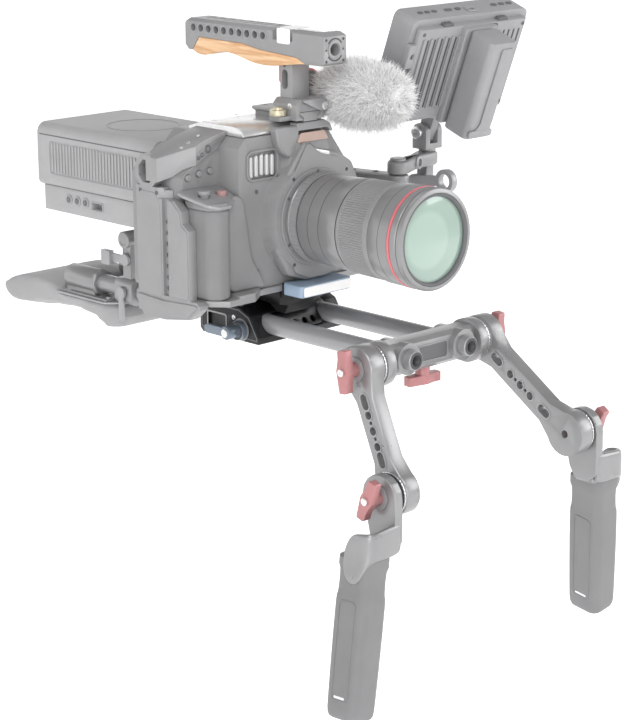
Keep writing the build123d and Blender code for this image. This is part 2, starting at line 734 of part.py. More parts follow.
with BuildPart() as swivel_post:
    post_foot = LINK_BOTTOM + LINK_T
    with BuildSketch(Plane.XY.offset(post_foot - 7)):
        with Locations(MONITOR_POST):
            Circle(4)
    extrude(amount=10)
    with BuildSketch(Plane.XY.offset(post_foot + GAP)):
        with Locations(MONITOR_POST):
            Circle(7)
    extrude(amount=3)
    with BuildSketch(Plane.XY.offset(post_foot + 3)):
        with Locations(MONITOR_POST):
            Circle(4.6)
    extrude(amount=6)
    # clevis of the tilt joint
    with Locations((MONITOR_POST[0], MONITOR_POST[1], TILT_Z - 3.5)):
        Box(19, 15, 21)
    fillet(swivel_post.edges().filter_by(Axis.X).group_by(Axis.Z)[-1], 7)
    with Locations((MONITOR_POST[0], MONITOR_POST[1], TILT_Z + 2.5)):
        Box(8.8, 20, 24, mode=Mode.SUBTRACT)
    with BuildSketch(side_plane(MONITOR_POST[0] - 10, MONITOR_POST[1], TILT_Z)):
        Circle(2.5)
    extrude(amount=20)
    with BuildSketch(side_plane(MONITOR_POST[0] - 12.5, MONITOR_POST[1], TILT_Z)):
        Circle(4.5)
        RegularPolygon(2.2, 6, mode=Mode.SUBTRACT)
    extrude(amount=3.1)
save(swivel_post, "swivel_post")

# The monitor is drawn upright in its own frame: x to the side, y towards its screen
# and z up its back, all starting from the tilt screw.
tilt = radians(MONITOR_TILT)
MONITOR = Plane(origin=(*MONITOR_POST, TILT_Z), x_dir=(1, 0, 0), z_dir=(0, -sin(tilt), cos(tilt)))


with BuildPart() as monitor_body:
    # housing with rounded corners
    with BuildSketch(Plane(origin=MONITOR.origin, x_dir=(1, 0, 0), z_dir=MONITOR.y_dir).offset(-MONITOR_D / 2)):
        with Locations((0, -19 - MONITOR_H / 2)):
            RectangleRounded(MONITOR_W, MONITOR_H, 6)
    extrude(amount=MONITOR_D)
    # stepped back with the battery shoe, and the foot above the tongue
    for x, y, z, width, depth, height, corner in (
            (0, -13.5, 25, MONITOR_W - 10, 7, 78, 3), (3.5, -19, 20, 36, 6, 82, 1.5),
            (0, 0, 16, 20, 16, 4, 2)):
        with BuildSketch(MONITOR.offset(z)):
            with Locations((x, y)):
                RectangleRounded(width, depth, corner)
        extrude(amount=height)
    with BuildSketch(MONITOR.offset(-6)):
        Rectangle(8, 12)
    extrude(amount=24)
    with Locations(MONITOR):
        Cylinder(2.55, 40, rotation=(0, 90, 0), mode=Mode.SUBTRACT)
    # recess of the screen
    with Locations(MONITOR.offset(19 + MONITOR_H / 2)):
        with Locations((0, 10.5, 0)):
            Box(MONITOR_W - 12, 3, MONITOR_H - 14, mode=Mode.SUBTRACT)
save(monitor_body, "monitor_body")

with BuildPart() as monitor_screen:
    with Locations(MONITOR.offset(19 + MONITOR_H / 2)):
        with Locations((0, 10, 0)):
            Box(MONITOR_W - 12.6, 1.6, MONITOR_H - 14.6)
save(monitor_screen, "monitor_screen")

with BuildPart() as monitor_battery:
    with BuildSketch(MONITOR.offset(17)):
        with Locations((3.5, -35.4)):
            RectangleRounded(30, 26, 5)
    extrude(amount=84)
save(monitor_battery, "monitor_battery")

# ------------------------------------------------------------ handlebar
with BuildPart() as crossbar:
    with BuildSketch(side_plane(-BAR_HALF_X, 0, 0)):
        with BuildLine():
            Polyline((-173, 3), (-173, 22), (-170, 25), (-158, 25), (-155, 22), (-155, 3), (-158, 0),
                     (-170, 0), close=True)
        make_face()
    extrude(amount=2 * BAR_HALF_X)
    for side in (-1, 1):
        with BuildSketch(side_plane(BAR_HALF_X - 9, PIVOT_Y, PIVOT_Z, side)):
            Circle(HEAD_R)
        extrude(amount=9)
        with BuildSketch(side_plane(BAR_HALF_X, PIVOT_Y, PIVOT_Z, side)):
            Circle(ROSETTE_R)
        extrude(amount=ROSETTE_T)
        with BuildSketch(side_plane(BAR_HALF_X + ROSETTE_T, PIVOT_Y, PIVOT_Z, side)):
            Circle(SCREW_R + FIT)
        extrude(amount=-13, mode=Mode.SUBTRACT)
    with BuildSketch(front_plane(0, -152, ROD_Z)):
        with Locations((-ROD_X, 0), (ROD_X, 0)):
            Circle(12)
    extrude(amount=26)
    with BuildSketch(front_plane(0, -140, ROD_Z)):
        with Locations((-ROD_X, 0), (ROD_X, 0)):
            Circle(ROD_R + FIT)
    extrude(amount=60, mode=Mode.SUBTRACT)
    # blank name plate recess
    with BuildSketch(front_plane(0, -173, 12.5)):
        RectangleRounded(27, 10, 2)
    extrude(amount=-0.8, mode=Mode.SUBTRACT)
    with BuildSketch(Plane.XY.offset(0)):
        with Locations((0, -163)):
            Circle(SCREW_R + FIT)
    extrude(amount=14, mode=Mode.SUBTRACT)
save(crossbar, "crossbar")


def wing_knob(plane, shaft, label):
    """A thumb screw with two swept wings on a stem; its shaft runs back from the plane."""
    with BuildPart() as knob:
        with BuildSketch(plane):
            Circle(5.6)
        extrude(amount=8)
        with BuildSketch(plane.offset(6.4)):
            with BuildLine():
                Polyline((-2.4, -WING_HALF), (5, -WING_HALF + 1), (4.4, -9), (5.8, 0), (2.4, WING_HALF),
                         (-5, WING_HALF - 1), (-4.4, 9), (-5.8, 0), close=True)
            wing = make_face()
            fillet(wing.vertices(), 1.4)
        extrude(amount=7)
        with BuildSketch(plane.offset(13.4)):
            Circle(3)
        extrude(amount=1)
        with BuildSketch(plane):
            Circle(SCREW_R)
        extrude(amount=-shaft)
    save(knob, label)


wing_knob(Plane(origin=(0, -163, -GAP), x_dir=(0, 1, 0), z_dir=(0, 0, -1)), 12, "bar_knob")


def arm(side, angle, length, label):
    """A dog-bone arm that hangs from the crossbar's end, with a rosette at each end."""
    lean = radians(angle)
    along = (0, -sin(lean), -cos(lean))
    low_y, low_z = arm_end(angle, length)
    with BuildPart() as bone:
        with BuildSketch(side_plane(ARM_X, PIVOT_Y, PIVOT_Z, side, along)):
            Circle(HEAD_R)
            with Locations((length, 0)):
                Circle(HEAD_R)
            with BuildLine():
                Polyline((10, 13.7), (24, 9), (length - 24, 9), (length - 10, 13.7), (length - 10, -13.7),
                         (length - 24, -9), (24, -9), (10, -13.7), close=True)
            make_face()
        extrude(amount=ARM_T)
        chamfer(bone.faces().sort_by(Axis.X)[-1 if side > 0 else 0].edges(), 0.8)
        with BuildSketch(side_plane(ARM_ROSETTE_X, PIVOT_Y, PIVOT_Z, side)):
            Circle(ROSETTE_R)
        extrude(amount=ROSETTE_T)
        with BuildSketch(side_plane(ARM_OUT_X, low_y, low_z, side)):
            Circle(ROSETTE_R)
        extrude(amount=ROSETTE_T)
        # windows, accessory holes and the two screw bores
        with BuildSketch(side_plane(ARM_ROSETTE_X, PIVOT_Y, PIVOT_Z, side, along)):
            Circle(SCREW_R + FIT)
            with Locations((length, 0)):
                Circle(SCREW_R + FIT)
            with Locations((25, 0), (length - 25, 0)):
                SlotOverall(12, 6.5)
            with Locations((length / 2 - 12, 0), (length / 2, 0), (length / 2 + 12, 0)):
                Circle(QUARTER_R)
            with Locations((length / 2 - 6, 0), (length / 2 + 6, 0)):
                Circle(1.4)
        extrude(amount=ARM_T + 2 * ROSETTE_T, mode=Mode.SUBTRACT)
    save(bone, label)


def bracket(side, low_y, low_z, label):
    """A U-shaped bracket: head plate inside, front wall, and an outer wall with the grip's tongue."""
    outer = BRACKET_X + GRIP_OUT + 13
    with BuildPart() as plate:
        with BuildSketch(side_plane(BRACKET_ROSETTE_X, low_y, low_z, side)):
            Circle(ROSETTE_R)
        extrude(amount=ROSETTE_T)
        with BuildSketch(side_plane(BRACKET_X, low_y, low_z, side)):
            Circle(HEAD_R)
        extrude(amount=BRACKET_T)
        with BuildSketch(side_plane(BRACKET_X, low_y, low_z, side)):
            with BuildLine():
                Polyline([(y, side * z) for y, z in (
                    (-16.8, -2), (-17, -36), (-14, -41), (4, -41), (9, -36), (10.5, -24), (16.4, -4))],
                         close=True)
            make_face()
        extrude(amount=BRACKET_T)
        # front wall and floor, in plan
        with BuildSketch(Plane.XY.offset(low_z - 41)):
            with BuildLine():
                Polyline([(side * x, low_y + y) for x, y in (
                    (BRACKET_X, -17), (outer - 5, -17), (outer - 1, -14.5), (outer, -11), (outer - 5, -9),
                    (outer - 8, -11), (BRACKET_X, -11))], close=True)
            make_face()
        extrude(amount=22)
        with Locations((side * (BRACKET_X + 17), low_y - 5, low_z - 39)):
            Box(34, 18, 4)
        # outer wall, leaning out with the grip, down to the tongue
        with BuildSketch(front_plane(0, low_y + 9, low_z)):
            with BuildLine():
                Polyline([(side * x, z) for x, z in (
                    (outer - 5, -19), (outer, -19), (outer + 0.6, -41), (outer + 4, -58), (outer - 1, -58),
                    (outer - 5, -41))], close=True)
            make_face()
        extrude(amount=20)
        with BuildSketch(side_plane(outer - 8, low_y, low_z, side)):
            with BuildLine():
                Polyline([(y, side * z) for y, z in (
                    (-30, -62), (-30, -39), (-11, -41), (-8, -52), (-3, -57), (2, -57), (7, -52),
                    (9.2, -42), (9.2, -25), (4, -18), (16, -10), (16, -62))], close=True)
            make_face()
        extrude(amount=14, mode=Mode.SUBTRACT)
        with BuildSketch(side_plane(BRACKET_ROSETTE_X, low_y, low_z, side)):
            Circle(SCREW_R + FIT)
        extrude(amount=ROSETTE_T + BRACKET_T, mode=Mode.SUBTRACT)
    save(plate, label)


def hand_grip(side, low_y, low_z, tilt, label):
    """A tapered grip under the bracket, splayed outwards and tilted forwards or to the rear."""
    splay = radians(GRIP_SPLAY)
    lean = radians(tilt)
    down = Vector(side * sin(splay), sin(lean), -cos(splay) * cos(lean))
    across = Vector(1, 0, 0) - down * down.X
    outer = BRACKET_X + GRIP_OUT + 13
    top = Vector(side * (BRACKET_X + GRIP_OUT - 1), low_y + 1, low_z - 35)
    with BuildPart() as grip:
        for distance, width, depth in ((0, 27, 32), (GRIP_LENGTH + 8, 27, 31)):
            with BuildSketch(Plane(origin=top + down * distance, x_dir=across, z_dir=down)):
                RectangleRounded(width, depth, 8)
        loft()
        fillet(grip.faces().sort_by(Axis.Z)[0].edges(), 4)
        # flat top under the bracket, and the seat of the bracket's tongue
        with Locations((side * (BRACKET_X + 18), low_y, low_z - 26)):
            Box(80, 80, 30.1, mode=Mode.SUBTRACT)
        with BuildSketch(front_plane(0, low_y + 9.1, low_z)):
            with BuildLine():
                Polyline([(side * x, z) for x, z in (
                    (outer - 5.1, -30), (outer + 20, -30), (outer + 20, -58.1), (outer - 1.1, -58.1),
                    (outer - 5.1, -41.1))], close=True)
            make_face()
        extrude(amount=40, mode=Mode.SUBTRACT)
    save(grip, label)


for side, angle, length, tilt, name in ((-1, RIGHT_ARM_ANGLE, RIGHT_ARM_LENGTH, RIGHT_GRIP_TILT, "right"),
                                        (1, LEFT_ARM_ANGLE, LEFT_ARM_LENGTH, LEFT_GRIP_TILT, "left")):
    end_y, end_z = arm_end(angle, length)
    arm(side, angle, length, name + "_arm")
    bracket(side, end_y, end_z, name + "_bracket")
    hand_grip(side, end_y, end_z, tilt, name + "_grip")
    wing_knob(side_plane(ARM_OUT_X + GAP, PIVOT_Y, PIVOT_Z, side, (0, 1, 0)), ARM_T + 14, name + "_arm_knob")
    wing_knob(side_plane(BRACKET_OUT_X + GAP, end_y, end_z, side, (0, 0.9, 0.436)), 20,
              name + "_grip_knob")

# ------------------------------------------------------------ rear clamp and battery
with BuildPart() as rear_clamp:
    with Locations((0, TUBE_Y, ROD_Z)):
        Box(84, 22, 22)
    fillet(rear_clamp.edges().filter_by(Axis.Y), 6)
    for side in (-1, 1):
        with Locations((side * 34, TUBE_Y, 36)):
            Box(6, 10, 34)
    with BuildSketch(front_plane(0, TUBE_Y + 20, ROD_Z)):
        with Locations((-ROD_X, 0), (ROD_X, 0)):
            Circle(ROD_R + FIT)
    extrude(amount=40, mode=Mode.SUBTRACT)
    with BuildSketch(side_plane(-40, TUBE_Y, TUBE_Z)):
        Circle(7)
    extrude(amount=80)
    # bores of the two small levers
    with BuildSketch(side_plane(-37.9, TUBE_Y, 0)):
        with Locations((0, FLAG_Z)):
            Circle(2 + FIT)
    extrude(amount=7, mode=Mode.SUBTRACT)
    with BuildSketch(side_plane(-43, TUBE_Y, 0)):
        with Locations((0, ROD_Z)):
            Circle(2 + FIT)
    extrude(amount=5, mode=Mode.SUBTRACT)
save(rear_clamp, "rear_clamp")

with BuildPart() as battery_plate:
    with Locations((0, BATTERY_FRONT_Y + 78, (PLATE_BOTTOM + BATTERY_BOTTOM) / 2)):
        Box(96, 142, BATTERY_BOTTOM - PLATE_BOTTOM)
    fillet(battery_plate.edges().filter_by(Axis.Z), 3)
    with BuildSketch(side_plane(-14, TUBE_Y, TUBE_Z)):
        Circle(11)
        with Locations((0, 8)):
            Rectangle(22, 16)
        Circle(7 + FIT, mode=Mode.SUBTRACT)
    extrude(amount=28)
    # power sockets on the operator's right
    with BuildSketch(side_plane(-48, 0, 84)):
        with Locations((199, 0), (188, 0), (177, 0)):
            Circle(2.6)
        with Locations((162, -1.5)):
            Rectangle(13, 5.5)
    extrude(amount=7, mode=Mode.SUBTRACT)
save(battery_plate, "battery_plate")

with BuildPart() as battery:
    middle_y = BATTERY_FRONT_Y + BATTERY_LENGTH / 2
    with Locations((0, middle_y, (BATTERY_BOTTOM + BATTERY_TOP) / 2 + 0.2)):
        Box(104, BATTERY_LENGTH, BATTERY_TOP - BATTERY_BOTTOM - 0.4)
    fillet(battery.edges().filter_by(Axis.Y).group_by(Axis.Z)[-1], 9)
    fillet(battery.edges().filter_by(Axis.Y).group_by(Axis.Z)[0], 5)
    with BuildSketch(Plane(origin=(-52, middle_y, 118), x_dir=(0, -1, 0), z_dir=(-1, 0, 0))):
        RectangleRounded(118, 28, 4)
    extrude(amount=-1.2, mode=Mode.SUBTRACT)
save(battery, "battery")

with BuildPart() as flag_lever:
    with BuildSketch(side_plane(37.4, TUBE_Y, FLAG_Z, -1)):
        Circle(5)
        with Locations((13, 0)):
            RectangleRounded(22, 7, 1.5)
    extrude(amount=2.6)
    with Locations((-41.4, TUBE_Y + 20, FLAG_Z)):
        Box(5, 11, 12)
    with BuildSketch(side_plane(37.5, TUBE_Y, FLAG_Z, -1)):
        Circle(2)
    extrude(amount=-5)
save(flag_lever, "flag_lever")

with BuildPart() as pad_lever:
    with BuildSketch(side_plane(42.4, TUBE_Y, ROD_Z, -1)):
        Circle(5)
        with Locations((0, 12)):
            Rectangle(4.4, 24)
    extrude(amount=3)
    with BuildSketch(side_plane(42.5, TUBE_Y, ROD_Z, -1)):
        Circle(2)
    extrude(amount=-4)
save(pad_lever, "pad_lever")

# ------------------------------------------------------------ shoulder pad
with BuildPart() as shoulder_pad:
    with BuildSketch(side_plane(-46, 0, 0)):
        with BuildLine():
            Polyline((152, -1), (146, -5), (144, -12), (145, -19), (150, -21), (160, -20), (178, -14.5),
                     (200, -11.5), (221, -10.8), (245, -12.5), (265, -16), (285, -18), (296, -15),
                     (302, -9), (300, -3), (290, 2), (272, 6.5), (258, 8), (246, 6.5), (232, 2), (222, -1),
                     close=True)
        make_face()
    extrude(amount=92)
    chamfer(shoulder_pad.faces().sort_by(Axis.X)[0].edges(), 1.2)
    chamfer(shoulder_pad.faces().sort_by(Axis.X)[-1].edges(), 1.2)
    # front corners cut off at an angle
    with BuildSketch(Plane.XY.offset(-30)):
        for side in (-1, 1):
            with BuildLine():
                Polyline((side * 48, 141), (side * 31, 141), (side * 48, 159), close=True)
            make_face()
    extrude(amount=40, mode=Mode.SUBTRACT)
save(shoulder_pad, "shoulder_pad")

with BuildPart() as pad_plate:
    with BuildSketch(Plane.XY.offset(-1)):
        with BuildLine():
            Polyline((-42, 162), (42, 162), (42, 222), (-42, 222), close=True)
        make_face()
        with Locations((0, 172), (0, 186), (0, 200), (0, 214)):
            SlotOverall(26, 6, mode=Mode.SUBTRACT)
        with Locations((-30, 170), (30, 170)):
            Circle(QUARTER_R, mode=Mode.SUBTRACT)
    extrude(amount=3.6)
    for side in (-1, 1):
        with Locations((side * ROD_X, 201, 5)):
            Box(15, 38, 6)
    with BuildSketch(front_plane(0, 220, ROD_Z)):
        with Locations((-ROD_X, 0), (ROD_X, 0)):
            Circle(10.4)
    extrude(amount=38)
    with BuildSketch(front_plane(0, 230, ROD_Z)):
        with Locations((-ROD_X, 0), (ROD_X, 0)):
            Circle(ROD_R + FIT)
    extrude(amount=60, mode=Mode.SUBTRACT)
save(pad_plate, "pad_plate")
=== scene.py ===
import bmesh
import bpy
import json
import math
import random
from mathutils import Matrix, Vector


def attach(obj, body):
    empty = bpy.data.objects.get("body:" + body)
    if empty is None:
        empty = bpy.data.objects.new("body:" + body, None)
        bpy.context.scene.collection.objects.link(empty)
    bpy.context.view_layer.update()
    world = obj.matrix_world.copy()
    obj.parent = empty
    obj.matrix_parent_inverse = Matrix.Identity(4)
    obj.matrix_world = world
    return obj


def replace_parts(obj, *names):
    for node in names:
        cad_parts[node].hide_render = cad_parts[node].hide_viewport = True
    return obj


# Row frame: +Z up, the lens looks along -Y, -X is the operator's right-hand side.
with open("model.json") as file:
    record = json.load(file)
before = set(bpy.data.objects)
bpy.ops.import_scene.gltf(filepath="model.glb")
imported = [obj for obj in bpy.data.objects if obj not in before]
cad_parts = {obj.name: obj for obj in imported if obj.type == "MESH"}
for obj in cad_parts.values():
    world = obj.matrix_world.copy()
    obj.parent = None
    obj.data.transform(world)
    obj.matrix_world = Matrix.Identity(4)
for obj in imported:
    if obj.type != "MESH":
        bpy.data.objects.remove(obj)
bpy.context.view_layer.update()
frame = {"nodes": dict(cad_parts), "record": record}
nodes = frame["nodes"]
MM = 0.001
SOURCE_SLOTS = {s["node"]: s["material_slot"] for s in frame["record"]["subparts"]}
BODY_OF = {n: b for b, names in frame["record"]["behaviour"]["bodies"].items() for n in names}


# ---------------------------------------------------------------- materials
def tone(r, g, b):
    """A linear colour from display values of 0 to 255."""
    def lin(v):
        v /= 255
        return v / 12.92 if v <= 0.04045 else ((v + 0.055) / 1.055) ** 2.4
    return (lin(r), lin(g), lin(b), 1)


def fill(node, values):
    """Sets inputs of a shader node by their names."""
    for key, value in values.items():
        node.inputs[key].default_value = value


def add(tree, kind, values=None, **settings):
    node = tree.nodes.new(kind)
    for key, value in settings.items():
        setattr(node, key, value)
    fill(node, values or {})
    return node


def wire(tree, source, output, target, entry):
    tree.links.new(source.outputs[output], target.inputs[entry])


def surface(name, stretch):
    """A new material: its node tree, its shader and the mapping that stretches its patterns."""
    mat = bpy.data.materials.new(name)
    mat.use_nodes = True
    tree = mat.node_tree
    place = add(tree, "ShaderNodeTexCoord")
    scale = add(tree, "ShaderNodeMapping", {"Scale": stretch})
    wire(tree, place, "Object", scale, "Vector")
    return mat, tree, tree.nodes["Principled BSDF"], scale


def noise(tree, scale, size, detail=2, twist=0.0):
    pattern = add(tree, "ShaderNodeTexNoise", {"Scale": size, "Detail": detail, "Distortion": twist})
    wire(tree, scale, "Vector", pattern, "Vector")
    return pattern


def coloured(tree, bsdf, source, output, low, high):
    """A colour ramp between two (position, colour) stops as the base colour."""
    ramp = add(tree, "ShaderNodeValToRGB")
    for stop, (position, colour) in zip(ramp.color_ramp.elements, (low, high)):
        stop.position, stop.color = position, colour
    wire(tree, source, output, ramp, "Fac")
    wire(tree, ramp, "Color", bsdf, "Base Color")
    return ramp.color_ramp


def relief(tree, bsdf, pattern, strength, depth):
    bump = add(tree, "ShaderNodeBump", {"Strength": strength, "Distance": depth})
    wire(tree, pattern, "Fac", bump, "Height")
    wire(tree, bump, "Normal", bsdf, "Normal")


def finish(name, colour, rough=0.45, metal=0.0, grain=900.0, bump=0.06, depth=0.00012, spread=0.05,
           mottle=40.0, coat=0.0, sheen=0.0, stretch=(1, 1, 1), rough_spread=0.08):
    """A moulded, anodised or brushed surface: colour drift, uneven gloss and a fine bump."""
    mat, tree, bsdf, scale = surface(name, stretch)
    fill(bsdf, {"Metallic": metal, "Coat Weight": coat, "Coat Roughness": 0.25, "Sheen Weight": sheen})
    wide, fine = noise(tree, scale, mottle, 3), noise(tree, scale, grain)
    coloured(tree, bsdf, wide, "Fac", (0.3, tuple(c * (1 - spread) for c in colour[:3]) + (1,)),
        (0.7, tuple(min(1, c * (1 + spread)) for c in colour[:3]) + (1,)))
    gloss = add(tree, "ShaderNodeMapRange", {"To Min": max(0.02, rough - rough_spread), "To Max":
        min(1, rough + rough_spread)})
    wire(tree, wide, "Fac", gloss, "Value")
    wire(tree, gloss, "Result", bsdf, "Roughness")
    relief(tree, bsdf, fine, bump, depth)
    return mat


def wood_finish(name, light, dark):
    """Oiled wood with long grain lines along Y."""
    mat, tree, bsdf, scale = surface(name, (1.0, 0.09, 1.0))
    fill(bsdf, {"Roughness": 0.42})
    ramp = coloured(tree, bsdf, noise(tree, scale, 260, 5, 0.7), "Fac", (0.36, dark), (0.62, light))
    ramp.elements.new(0.5).color = tuple((a + b) / 2 for a, b in zip(light, dark))
    relief(tree, bsdf, noise(tree, scale, 1500), 0.25, 0.0002)
    return mat


def glass_finish(name, colour, painted_reflection):
    """Coated front glass: a deep tint near the rim and a paler round painted reflection a little off centre."""
    mat = finish(name, colour, rough=0.1, grain=30, bump=0.0, spread=0.03, mottle=18, coat=1.0,
        rough_spread=0.02)
    tree = mat.node_tree
    bsdf = tree.nodes["Principled BSDF"]
    fill(bsdf, {"Coat Roughness": 0.03})
    reach = add(tree, "ShaderNodeVectorMath", {1: (-0.0075, -0.174, 0.0985)}, operation="DISTANCE")
    wire(tree, add(tree, "ShaderNodeTexCoord"), "Object", reach, 0)
    # painted reflection: a paler tint inside a disc about 21 mm across round a fixed point on the front glass
    coloured(tree, bsdf, reach, "Value", (0.0205, painted_reflection), (0.0215, colour))
    return mat


LOOKS = {"rods": (152, 152, 154, 0.3, 0.35, {"grain": 1600, "bump": 0.04, "stretch": (1, 0.05, 1)}),
    "base_black": (18, 18, 20, 0.38, 0.3, {"coat": 0.2}), "lever_blue_grey": (120, 131, 143, 0.3, 0.5),
    "plate_pale_blue": (148, 166, 186, 0.4, 0.2), "camera_grey":
    (134, 134, 135, 0.42, 0.0, {"bump": 0.12, "grain": 1500}), "screen":
    (46, 47, 50, 0.08, 0.0, {"bump": 0.0, "coat": 1.0}), "sensor": (40, 44, 52, 0.15, 0.0, {"bump": 0.0}),
    "mount_metal": (160, 160, 161, 0.35, 0.3), "lens_grey": (142, 142, 143, 0.32, 0.4, {"bump": 0.0, "spread":
    0.01, "rough_spread": 0.01}), "ring_dark": (140, 140, 141, 0.4, 0.1, {"bump": 0.04}), "ring_red":
    (214, 112, 120, 0.35, 0.1), "button_red": (170, 132, 132, 0.35, 0.0, {"coat": 0.3}), "button_grey":
    (140, 140, 141, 0.35, 0.0, {"coat": 0.3}), "cage_grey": (146, 146, 147, 0.4, 0.25, {"bump": 0.05}),
    "cover_bright": (214, 214, 214, 0.25, 0.7, {"stretch": (0.1, 1, 1)}), "brass": (196, 188, 164, 0.3, 0.7),
    "lever_steel": (156, 156, 158, 0.32, 0.35), "holder_grey": (120, 120, 121, 0.45, 0.0), "fur":
    (246, 246, 246, 0.9, 0.0, {"sheen": 0.6}), "monitor_grey": (146, 146, 148, 0.45, 0.0, {"bump": 0.1}),
    "arm_grey": (146, 146, 147, 0.3, 0.5, {"bump": 0.05}), "knob_red":
    (178, 124, 125, 0.38, 0.3, {"bump": 0.05}), "grip_grey": (122, 122, 123, 0.55, 0.0, {"bump": 0.25,
    "grain": 2200, "depth": 0.0002}), "clamp_grey": (146, 146, 147, 0.3, 0.5, {"bump": 0.05}), "battery_grey":
    (160, 160, 161, 0.5, 0.0, {"bump": 0.12, "grain": 1800}), "pad_soft": (152, 152, 153, 0.75, 0.0, {"bump":
    0.35, "grain": 1200, "depth": 0.0004, "sheen": 0.15}), "fur_deep":
    (216, 216, 216, 0.9, 0.0, {"sheen": 0.4}), "dark": (96, 96, 98, 0.6, 0.0), "darker":
    (70, 70, 72, 0.6, 0.0), "bright": (225, 225, 226, 0.22, 0.75, {"stretch": (1, 1, 0.1)}), "vent_bar":
    (204, 204, 204, 0.3, 0.2), "white": (236, 236, 236, 0.35, 0.0), "window":
    (178, 150, 138, 0.2, 0.0, {"coat": 0.8}), "red_soft": (226, 128, 132, 0.5, 0.0)}
M = {slot: finish(slot, tone(*look[:3]), look[3], look[4], **(look[5] if len(look) > 5 else {}))
     for slot, look in LOOKS.items()}
# the second tint is the painted reflection on the front glass
M["glass"] = glass_finish("lens_tint_and_painted_reflection", tone(140, 162, 151), tone(152, 173, 162))
M["wood"] = wood_finish("oiled_wood", tone(230, 194, 154), tone(202, 150, 104))


# ---------------------------------------------------------------- mesh helpers
def linked(name, data):
    """A new object in the scene."""
    piece = bpy.data.objects.new(name, data)
    bpy.context.scene.collection.objects.link(piece)
    return piece


def shade(mesh, angle=35):
    """Smooth shading, sharp only where faces meet at more than the angle."""
    form = bmesh.new()
    form.from_mesh(mesh)
    limit = math.radians(angle)
    for edge in form.edges:
        edge.smooth = len(edge.link_faces) != 2 or edge.calc_face_angle(0) < limit
    for face in form.faces:
        face.smooth = True
    form.to_mesh(mesh)
    form.free()


def mesh_from(form, name, angle=0):
    """Turns a bmesh into a mesh, smooth up to the angle."""
    mesh = bpy.data.meshes.new(name)
    form.to_mesh(mesh)
    form.free()
    if angle:
        shade(mesh, angle)
    return mesh


def bridge(form, rows):
    """Faces between each pair of rows of vertices that each close on themselves, with both ends capped."""
    for a, b in zip(rows, rows[1:]):
        for i in range(len(a)):
            j = (i + 1) % len(a)
            form.faces.new((a[i], b[i], b[j], a[j]))
    form.faces.new(rows[0])
    form.faces.new(rows[-1][::-1])
    bmesh.ops.recalc_face_normals(form, faces=form.faces)


def spin(form, rows, closed):
    """Faces round an axis between rows of vertices, one row for each direction."""
    span = len(rows[0]) - (0 if closed else 1)
    for i, a in enumerate(rows):
        b = rows[(i + 1) % len(rows)]
        for j in range(span):
            k = (j + 1) % len(a)
            form.faces.new((a[j], a[k], b[k], b[j]))
    bmesh.ops.remove_doubles(form, verts=form.verts, dist=0.0000005)
    bmesh.ops.recalc_face_normals(form, faces=form.faces)


def bevel(piece, width, segments=2, angle=32):
    """Rounds the sharp edges of a piece and applies the result to its mesh."""
    modifier = piece.modifiers.new("rounding", "BEVEL")
    modifier.width = width * MM
    modifier.segments = segments
    modifier.limit_method = "ANGLE"
    modifier.angle_limit = math.radians(angle)
    modifier.use_clamp_overlap = True
    modifier.harden_normals = False
    apply(piece)


def baked(piece):
    """The mesh of a piece or a curve with its modifiers applied."""
    bpy.context.view_layer.update()
    return bpy.data.meshes.new_from_object(piece.evaluated_get(bpy.context.evaluated_depsgraph_get()))


def apply(piece):
    """Applies the piece's modifiers to its mesh."""
    mesh = baked(piece)
    piece.modifiers.clear()
    piece.data = mesh


def paint(mesh, mat):
    mesh.materials.clear()
    mesh.materials.append(M[mat])


def put(name, mesh, body, mat):
    """Links a mesh as a named piece that rides on a body."""
    piece = linked(name, mesh)
    paint(mesh, mat)
    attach(piece, body)
    return piece


def refined(node, width=0.4, angle=30, mat=None):
    """Stands for a CAD node: the same form with flat faces joined up and its edges rounded."""
    form = bmesh.new()
    form.from_mesh(nodes[node].data)
    bmesh.ops.remove_doubles(form, verts=form.verts, dist=0.000002)
    bmesh.ops.dissolve_limit(form, angle_limit=math.radians(0.6), verts=form.verts, edges=form.edges)
    mesh = mesh_from(form, node + "_look")
    slot = SOURCE_SLOTS[node]
    piece = put(node + "_look", mesh, BODY_OF[node], mat or slot)
    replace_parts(piece, node)
    if width:
        bevel(piece, width, 2, angle)
    shade(piece.data, 34)
    return piece


def plane(origin, x_dir, y_dir):
    """The matrix of a drawing plane given in millimetres."""
    x, y = Vector(x_dir).normalized(), Vector(y_dir).normalized()
    z = x.cross(y)
    out = Matrix((x, y, z)).transposed().to_4x4()
    out.translation = Vector(origin) * MM
    return out


def front(y):
    """Drawing plane that faces forward: x to the left-hand side, z up."""
    return plane((0, y, 0), (1, 0, 0), (0, 0, 1))


def rear(y):
    return plane((0, y, 0), (-1, 0, 0), (0, 0, 1))


def above(z):
    return plane((0, 0, z), (1, 0, 0), (0, 1, 0))


def left(x):
    return plane((x, 0, 0), (0, 1, 0), (0, 0, 1))


def right(x):
    return plane((x, 0, 0), (0, -1, 0), (0, 0, 1))


